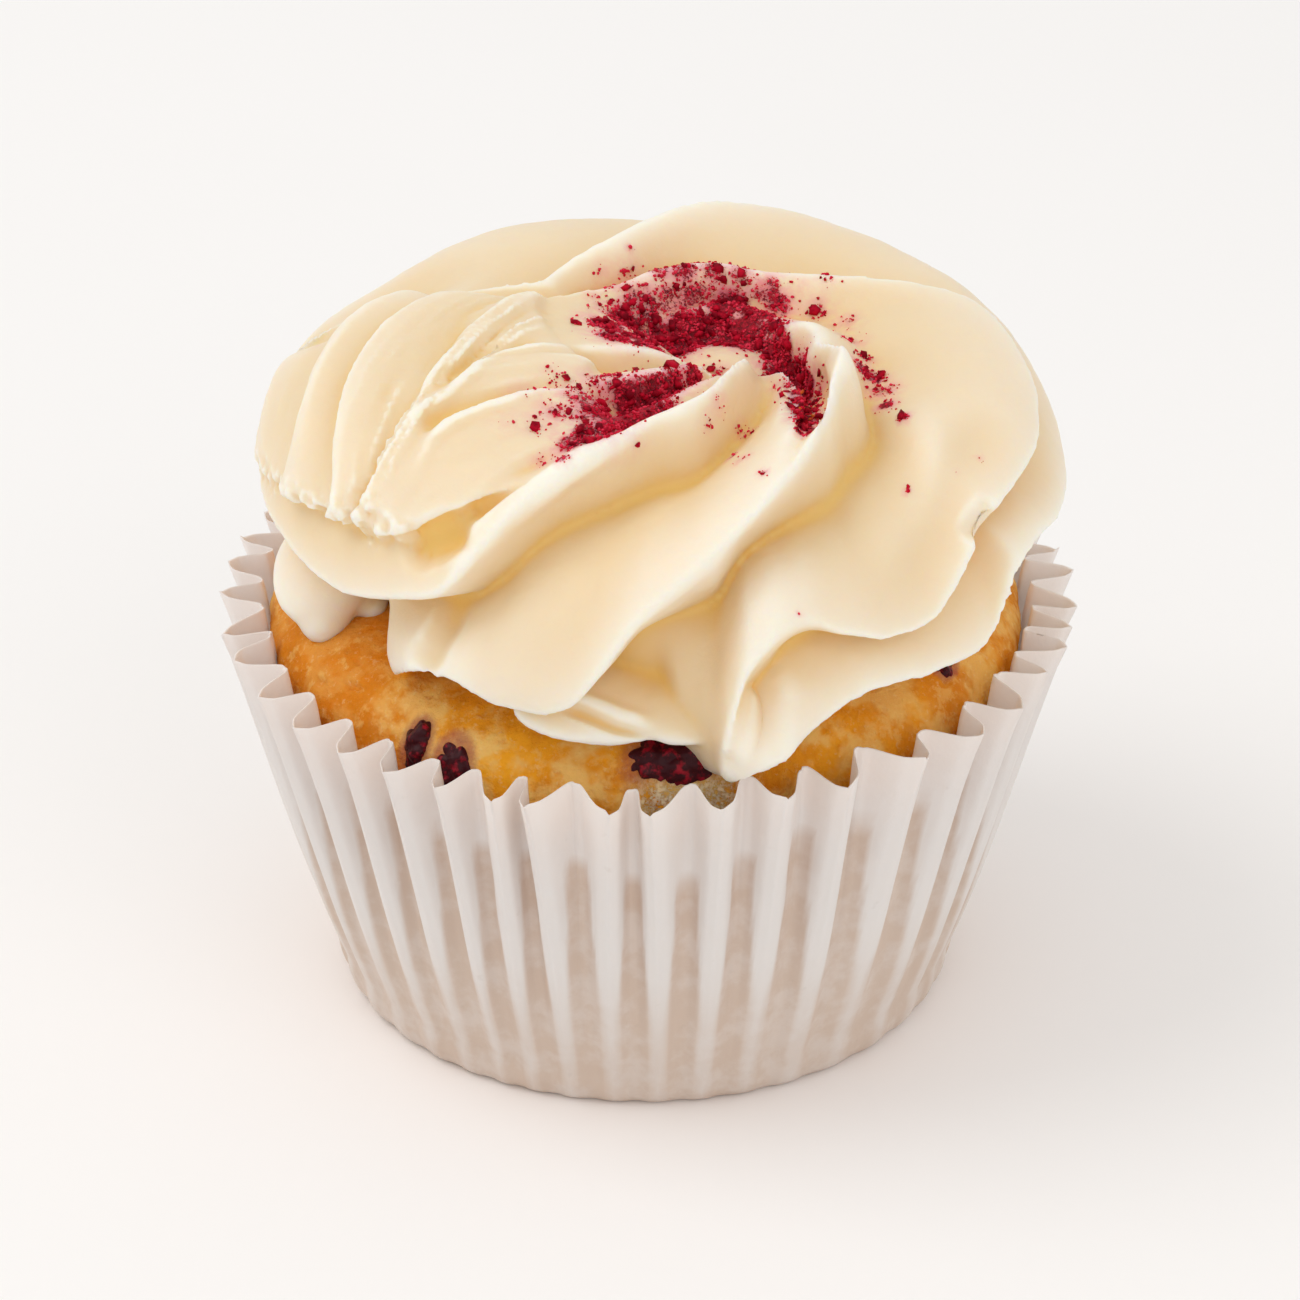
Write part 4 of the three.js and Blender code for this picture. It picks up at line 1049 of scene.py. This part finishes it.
def tail_grain(icing, flat):
    """Fine strands that fan out over the torn end, and its ragged lip, as heights in mm."""
    u, t = (part.ravel() for part in np.meshgrid(np.linspace(0, 1, 200), np.linspace(0, 1, 90)))
    samples = on_tail(icing, u, t)
    tree = kdtree.KDTree(len(samples))
    for i, sample in enumerate(samples):
        tree.insert(sample, i)
    tree.balance()
    low, high = samples.min(0) - 1, samples.max(0) + 1
    some = np.flatnonzero(((flat > low) & (flat < high)).all(1))
    found = [tree.find(point) for point in flat[some]]
    nearest, away = np.array([f[1] for f in found]), np.array([f[2] for f in found])
    place, t = u[nearest] * (len(TAIL_RIDGES) - 1), t[nearest]
    near = smooth_step(1.6, 0.7, away)
    strand = noise_at(np.stack([place * 3.2, t * 1.7, 0 * t], 1), 0.5, 17)
    strand += 0.5 * noise_at(np.stack([place * 7, t * 4.5, 0 * t], 1), 0.5, 41)
    window = smooth_step(1.6, 2.8, place) * smooth_step(5.0, 4.2, place)
    height = (0.09 + 0.38 * window) * strand * smooth_step(1.0, 0.75, t)
    lip = smooth_step(0.14, 0.02, t)
    height += lip * (0.45 * noise_at(flat[some], 1.2, 3) + 0.4 * noise_at(flat[some], 0.6, 8))
    grain = np.zeros(len(flat))
    grain[some] = height * near
    return grain


def build_fold(middle, half, angles):
    """A lobe of the first layer."""
    tilt, yaw = (math.radians(angle) for angle in angles)
    turn = Matrix.Translation(middle) @ Matrix.Rotation(yaw, 4, "Z") @ Matrix.Rotation(tilt, 4, "X")
    return ball_mesh("fold", 4, lambda point: turn @ scaled(point, half))


def build_plug():
    """The floor of the hollow."""
    def place(point):
        x, y, z = point
        return Vector((HOLLOW[0] + x * 10, HOLLOW[1] + y * 9, 46.5 + z * 10.5))

    return ball_mesh("plug", 4, place)


def cover_at(points, patches, spread=1.0):
    """How thickly patches cover places in mm, from 0 to 1."""
    cover = np.zeros(len(points))
    for x, y, z, radius, amount in patches:
        away = np.linalg.norm(points - (x, y, z), axis=1) / (radius * spread)
        cover = np.maximum(cover, amount * smooth_step(1.25, 0.45, away))
    return cover


def build_icing(icing):
    parts = [build_swirl(icing), build_tail(icing), build_plug()]
    parts += [build_fold(*fold) for fold in FOLDS]
    mesh = fused("icing", parts, icing.voxel / MM)
    flat = smoothed(mesh, 4) / MM
    # The tongue at the front ends clear of the sponge.
    lifted = np.maximum(flat[:, 2], TONGUE_FOOT)
    flat[:, 2] = np.where(flat[:, 1] < TONGUE_START, lifted, flat[:, 2])
    place_points(mesh, flat * MM)
    normals = normals_of(mesh)
    height = tail_grain(icing, flat) + crease_height(flat)
    place_points(mesh, (flat + normals * height[:, None]) * MM)
    place_points(mesh, smoothed(mesh, 1))
    points, normals = points_of(mesh), normals_of(mesh)
    # How far each point stands out from softer and softer copies of the icing. The buttercream's
    # painted highlights and shade follow these.
    near = smoothed(mesh, 14)
    middling = smoothed(mesh, 140, near)
    wide = smoothed(mesh, 350, middling)
    proud, lie, low = (((points - soft) * normals).sum(1) / MM for soft in (near, middling, wide))
    flat = points / MM
    clumps = 0.5 + 0.5 * noise_at(flat, 2.2, 31)
    cover = cover_at(flat, DUST) * np.clip(0.55 + 0.9 * clumps, 0, 1.15)
    wobble = 0.10 * noise_at(flat, 3.5, 5) + 0.04 * noise_at(flat, 1.1, 9)
    rough = 0.09 * noise_at(flat, 0.55, 2) * smooth_step(0.05, 0.3, proud)
    crumbs = 0.07 * noise_at(flat, 0.5, 13) * cover
    place_points(mesh, points + normals * ((wobble + rough + crumbs) * MM)[:, None])
    stain = cover_at(flat, DUST, 1.5)
    set_attributes(mesh, proud=proud, lie=lie, low=-low, cover=cover, stain=stain)
    return modified(mesh, "DECIMATE", ratio=icing.fineness)


def icing_finish(icing, dust):
    finish = Finish("buttercream")
    proud, lie, low, stain, cover = (
        finish.attribute(name) for name in ("proud", "lie", "low", "stain", "cover")
    )
    stain *= finish.patches(0.3, 0.62, 1.3, 4, 0.7)
    grain = 1.6 * finish.noise(0.3, 5, 0.8) + 0.8 * finish.noise(1.2, 3)
    powder = finish.step(0.95 * cover + grain, 1.84, 2.0)
    shade = finish.layers(
        dust.dark,
        (finish.patches(0.36, 0.62, 0.5, 4, 0.7), dust.crimson),
        (finish.patches(0.56, 0.72, 0.22, 3, 0.6) * 0.3, dust.bright),
    )
    colour = finish.layers(
        # Painted highlight: the paler crest colour stays on the proudest parts of the swirl.
        icing.crest_highlight,
        (finish.step(low, -2.0, 0.1), icing.cream),
        # Painted shade: the darker, warmer panel colour on the low broad sides, broken up a little
        # by noise.
        (finish.step(low + 0.8 * finish.noise(9, 3), 0.3, 2.2), icing.panel),
        # Painted shade: the valley colour in the valleys and the fine creases.
        (finish.step(lie * -1.0, 0.05, 1.3) * 0.85, icing.valley_shade),
        (finish.step(proud * -1.0, 0.02, 0.3) * 0.5, icing.valley_shade),
        # Painted highlight: near-white on the thin crests.
        (finish.step(proud, 0.03, 0.2) * 0.8, (0.97, 0.91, 0.80)),
        (stain * 0.7, icing.stain),
        (finish.step(cover, 0.25, 0.9) * 0.75, (0.76, 0.09, 0.17)),
        (finish.step(cover, 0.7, 1.0) * 0.85, (0.38, 0.005, 0.02)),
        (powder, shade),
    )
    normal = finish.bump(finish.noise(0.9, 3, 0.6), 0.05)
    normal = finish.bump(finish.noise(0.25, 3, 0.7), 0.02, 0.7, normal)
    normal = finish.bump(powder * finish.noise(0.2, 4, 0.7), 0.16, 1.0, normal)
    rough = 0.45 + 0.35 * powder
    finish.surface(Base_Color=colour, Roughness=rough, Normal=normal, Specular_IOR_Level=0.35)
    finish.glow(0.5, (1.0, 0.72, 0.38), 2.8)
    return finish.material


class CUPCAKE_OT_icing(bpy.types.Operator):
    """Makes the buttercream swirl"""

    bl_idname = "cupcake.icing"
    bl_label = "Buttercream"

    def execute(self, context):
        icing = context.scene.cupcake_icing
        finish = icing_finish(icing, context.scene.cupcake_dust)
        add_piece("buttercream", build_icing(icing), finish, "buttercream", "icing")
        return {"FINISHED"}


# ---- Freeze-dried raspberry ----

GRAIN_TILT = 0.35  # how far grains tip over, as the spread of a slope


def grain_mesh(name, spots, jitter, seed):
    """Joins one lumpy grain for each spot: place, facing, half sizes and turn."""
    rng = np.random.default_rng(seed)
    whole = bmesh.new()
    for start in range(0, len(spots), 60):
        some = bmesh.new()
        for point, facing, half, turn in spots[start : start + 60]:
            upright = facing.to_track_quat("Z", "Y").to_matrix().to_4x4()
            matrix = (
                Matrix.Translation(point) @ upright @ Matrix.Rotation(turn, 4, "Z")
                @ Matrix.Diagonal((*half, 1))
            )
            grain = bmesh.ops.create_icosphere(some, subdivisions=1, radius=1)
            for vertex in grain["verts"]:
                push = 1 + jitter * (rng.random() - 0.5)
                vertex.co = matrix @ (vertex.co * push)
        part = mesh_from(some, "grains")
        whole.from_mesh(part)
        bpy.data.meshes.remove(part)
    return mesh_from(whole, name)


def scatter_grains(mesh, patches, count, size, seed, flatness, haze=0.0):
    """Spots where grains lie on a mesh: chosen by area and by how thickly patches cover it."""
    rng = np.random.default_rng(seed)
    mesh.calc_loop_triangles()
    corners = np.empty(len(mesh.loop_triangles) * 3, dtype=np.int32)
    mesh.loop_triangles.foreach_get("vertices", corners)
    corners = corners.reshape(-1, 3)
    points = points_of(mesh)
    a, b, c = (points[corners[:, i]] for i in range(3))
    across = np.cross(b - a, c - a)
    area = np.linalg.norm(across, axis=1)
    facing = across / np.maximum(area, 1e-12)[:, None]
    middles = (a + b + c) / (3 * MM)
    cover = cover_at(middles, patches) ** 1.5 + haze * cover_at(middles, patches, 1.6)
    cover *= np.clip(0.6 + 1.0 * noise_at_some(middles, cover), 0.05, 2)
    weight = area * cover * (facing[:, 2] > -0.1)
    picked = rng.choice(len(weight), count, p=weight / weight.sum())
    u, v = rng.random((2, count, 1))
    u, v = np.where(u + v > 1, 1 - u, u), np.where(u + v > 1, 1 - v, v)
    places = a[picked] + u * (b - a)[picked] + v * (c - a)[picked]
    tilts = facing[picked] + rng.normal(size=(count, 3)) * GRAIN_TILT
    longs = size[0] + (size[1] - size[0]) * rng.random(count) ** 2.2
    spots = []
    for place, up, tilt, half in zip(places, facing[picked], tilts, longs):
        shape = (half * MM, half * (0.5 + 0.5 * rng.random()) * MM, half * flatness * MM)
        spot = Vector(place + up * shape[2] * 0.5)
        spots.append((spot, Vector(tilt).normalized(), shape, rng.random() * math.pi))
    return spots


def noise_at_some(points, wanted):
    """Clumping noise at points where anything is wanted, and 0 elsewhere."""
    values = np.zeros(len(points))
    some = wanted > 0.001
    values[some] = noise_at(points[some], 1.3, 21)
    return values


def dust_finish(name, colour, bright, roughness):
    finish = Finish(name)
    shade = finish.mix(finish.patches(0.35, 0.68, 0.9, 3, 0.6), colour, bright)
    finish.surface(Base_Color=shade, Roughness=roughness, Specular_IOR_Level=0.06)
    return finish.material


class CUPCAKE_OT_dust(bpy.types.Operator):
    """Scatters freeze-dried raspberry over the buttercream"""

    bl_idname = "cupcake.dust"
    bl_label = "Freeze-dried Raspberry"

    def execute(self, context):
        dust = context.scene.cupcake_dust
        icing = bpy.data.objects["buttercream"].data
        powder = scatter_grains(icing, DUST, dust.powder, (0.045, 0.2), 11, 0.7, 0.06)
        flakes = scatter_grains(icing, DUST, dust.flakes, (0.16, 0.6), 23, 0.5, 0.01)
        amber = scatter_grains(icing, AMBER, dust.ambers, (0.25, 0.55), 5, 0.4)
        powder_look = dust_finish("raspberry powder", dust.crimson, dust.bright, 0.8)
        flake_look = dust_finish("raspberry flakes", dust.dark, dust.crimson, 0.6)
        amber_look = dust_finish("amber flakes", dust.amber, (0.5, 0.05, 0.02), 0.6)
        for name, spots, jitter, seed, look in (
            ("raspberry_powder", powder, 0.7, 3, powder_look),
            ("raspberry_flakes", flakes, 0.8, 4, flake_look),
            ("amber_flakes", amber, 0.8, 5, amber_look),
        ):
            add_piece(name, grain_mesh(name, spots, jitter, seed), look, "raspberry")
        return {"FINISHED"}


# ---- The stage ----

LIT_POINT = Vector((0, 0, 0.035))


def add_light(name, place, size, watts, colour):
    data = bpy.data.lights.new(name, "AREA")
    data.shape = "DISK"
    data.size = size
    data.energy = watts
    data.color = colour
    light = put(name, data)
    light.location = place
    light.rotation_euler = (LIT_POINT - Vector(place)).to_track_quat("-Z", "Y").to_euler()


class CUPCAKE_OT_stage(bpy.types.Operator):
    """Makes the floor, the lights and the camera"""

    bl_idname = "cupcake.stage"
    bl_label = "Stage"

    def execute(self, context):
        scene, stage = context.scene, context.scene.cupcake_stage
        disc = bmesh.new()
        bmesh.ops.create_circle(disc, cap_ends=True, segments=96, radius=6)
        mesh = mesh_from(disc, "floor")
        finish = Finish("pale floor")
        # Faint darker patches at random over the floor.
        darker_floor = tuple(0.985 * part for part in stage.floor)
        colour = finish.mix(finish.patches(0.4, 0.7, 60, 2) * 0.3, stage.floor, darker_floor)
        finish.surface(Base_Color=colour, Roughness=0.9)
        mesh.materials.append(finish.material)
        put("floor", mesh)
        world = bpy.data.worlds.new("studio")
        world.use_nodes = True
        sky = world.node_tree.nodes["Background"].inputs
        sky["Color"].default_value = (1, 0.995, 0.985, 1)
        sky["Strength"].default_value = stage.sky
        scene.world = world
        add_light("key", (-0.5, -0.05, 0.8), 0.6, stage.key_watts, (1, 0.99, 0.97))
        add_light("fill", (0.45, -0.7, 0.55), 0.8, stage.fill_watts, (1, 0.99, 0.98))
        scene.view_settings.view_transform = "Standard"
        scene.view_settings.look = "None"
        data = bpy.data.cameras.new("camera")
        data.sensor_width = 36
        data.lens = stage.focal_length
        data.clip_start = 0.01
        camera = put("camera", data)
        height = stage.aim + stage.distance * math.sin(stage.elevation)
        camera.location = (stage.side, -stage.distance * math.cos(stage.elevation), height)
        camera.rotation_euler = (math.pi / 2 - stage.elevation, 0, 0)
        scene.camera = camera
        return {"FINISHED"}


class CUPCAKE_PT_panel(bpy.types.Panel):
    """Lists the cupcake's pieces"""

    bl_idname = "CUPCAKE_PT_panel"
    bl_label = "Piped Cupcake"
    bl_space_type = "VIEW_3D"
    bl_region_type = "UI"
    bl_category = "Cupcake"

    def draw(self, context):
        for operator in OPERATORS:
            self.layout.operator(operator.bl_idname)
        for name in SETTINGS:
            box = self.layout.box()
            settings = getattr(context.scene, name)
            for field in settings.__annotations__:
                box.prop(settings, field)


OPERATORS = (
    CUPCAKE_OT_stage,
    CUPCAKE_OT_case,
    CUPCAKE_OT_sponge,
    CUPCAKE_OT_berries,
    CUPCAKE_OT_icing,
    CUPCAKE_OT_dust,
)
CLASSES = (*SETTINGS.values(), *OPERATORS, CUPCAKE_PT_panel)


def register():
    for cls in CLASSES:
        bpy.utils.register_class(cls)
    for name, cls in SETTINGS.items():
        setattr(bpy.types.Scene, name, PointerProperty(type=cls))


def unregister():
    for name in SETTINGS:
        delattr(bpy.types.Scene, name)
    for cls in reversed(CLASSES):
        bpy.utils.unregister_class(cls)


def main():
    register()
    for operator in OPERATORS:
        category, name = operator.bl_idname.split(".")
        getattr(getattr(bpy.ops, category), name)()


if __name__ == "__main__":
    main()
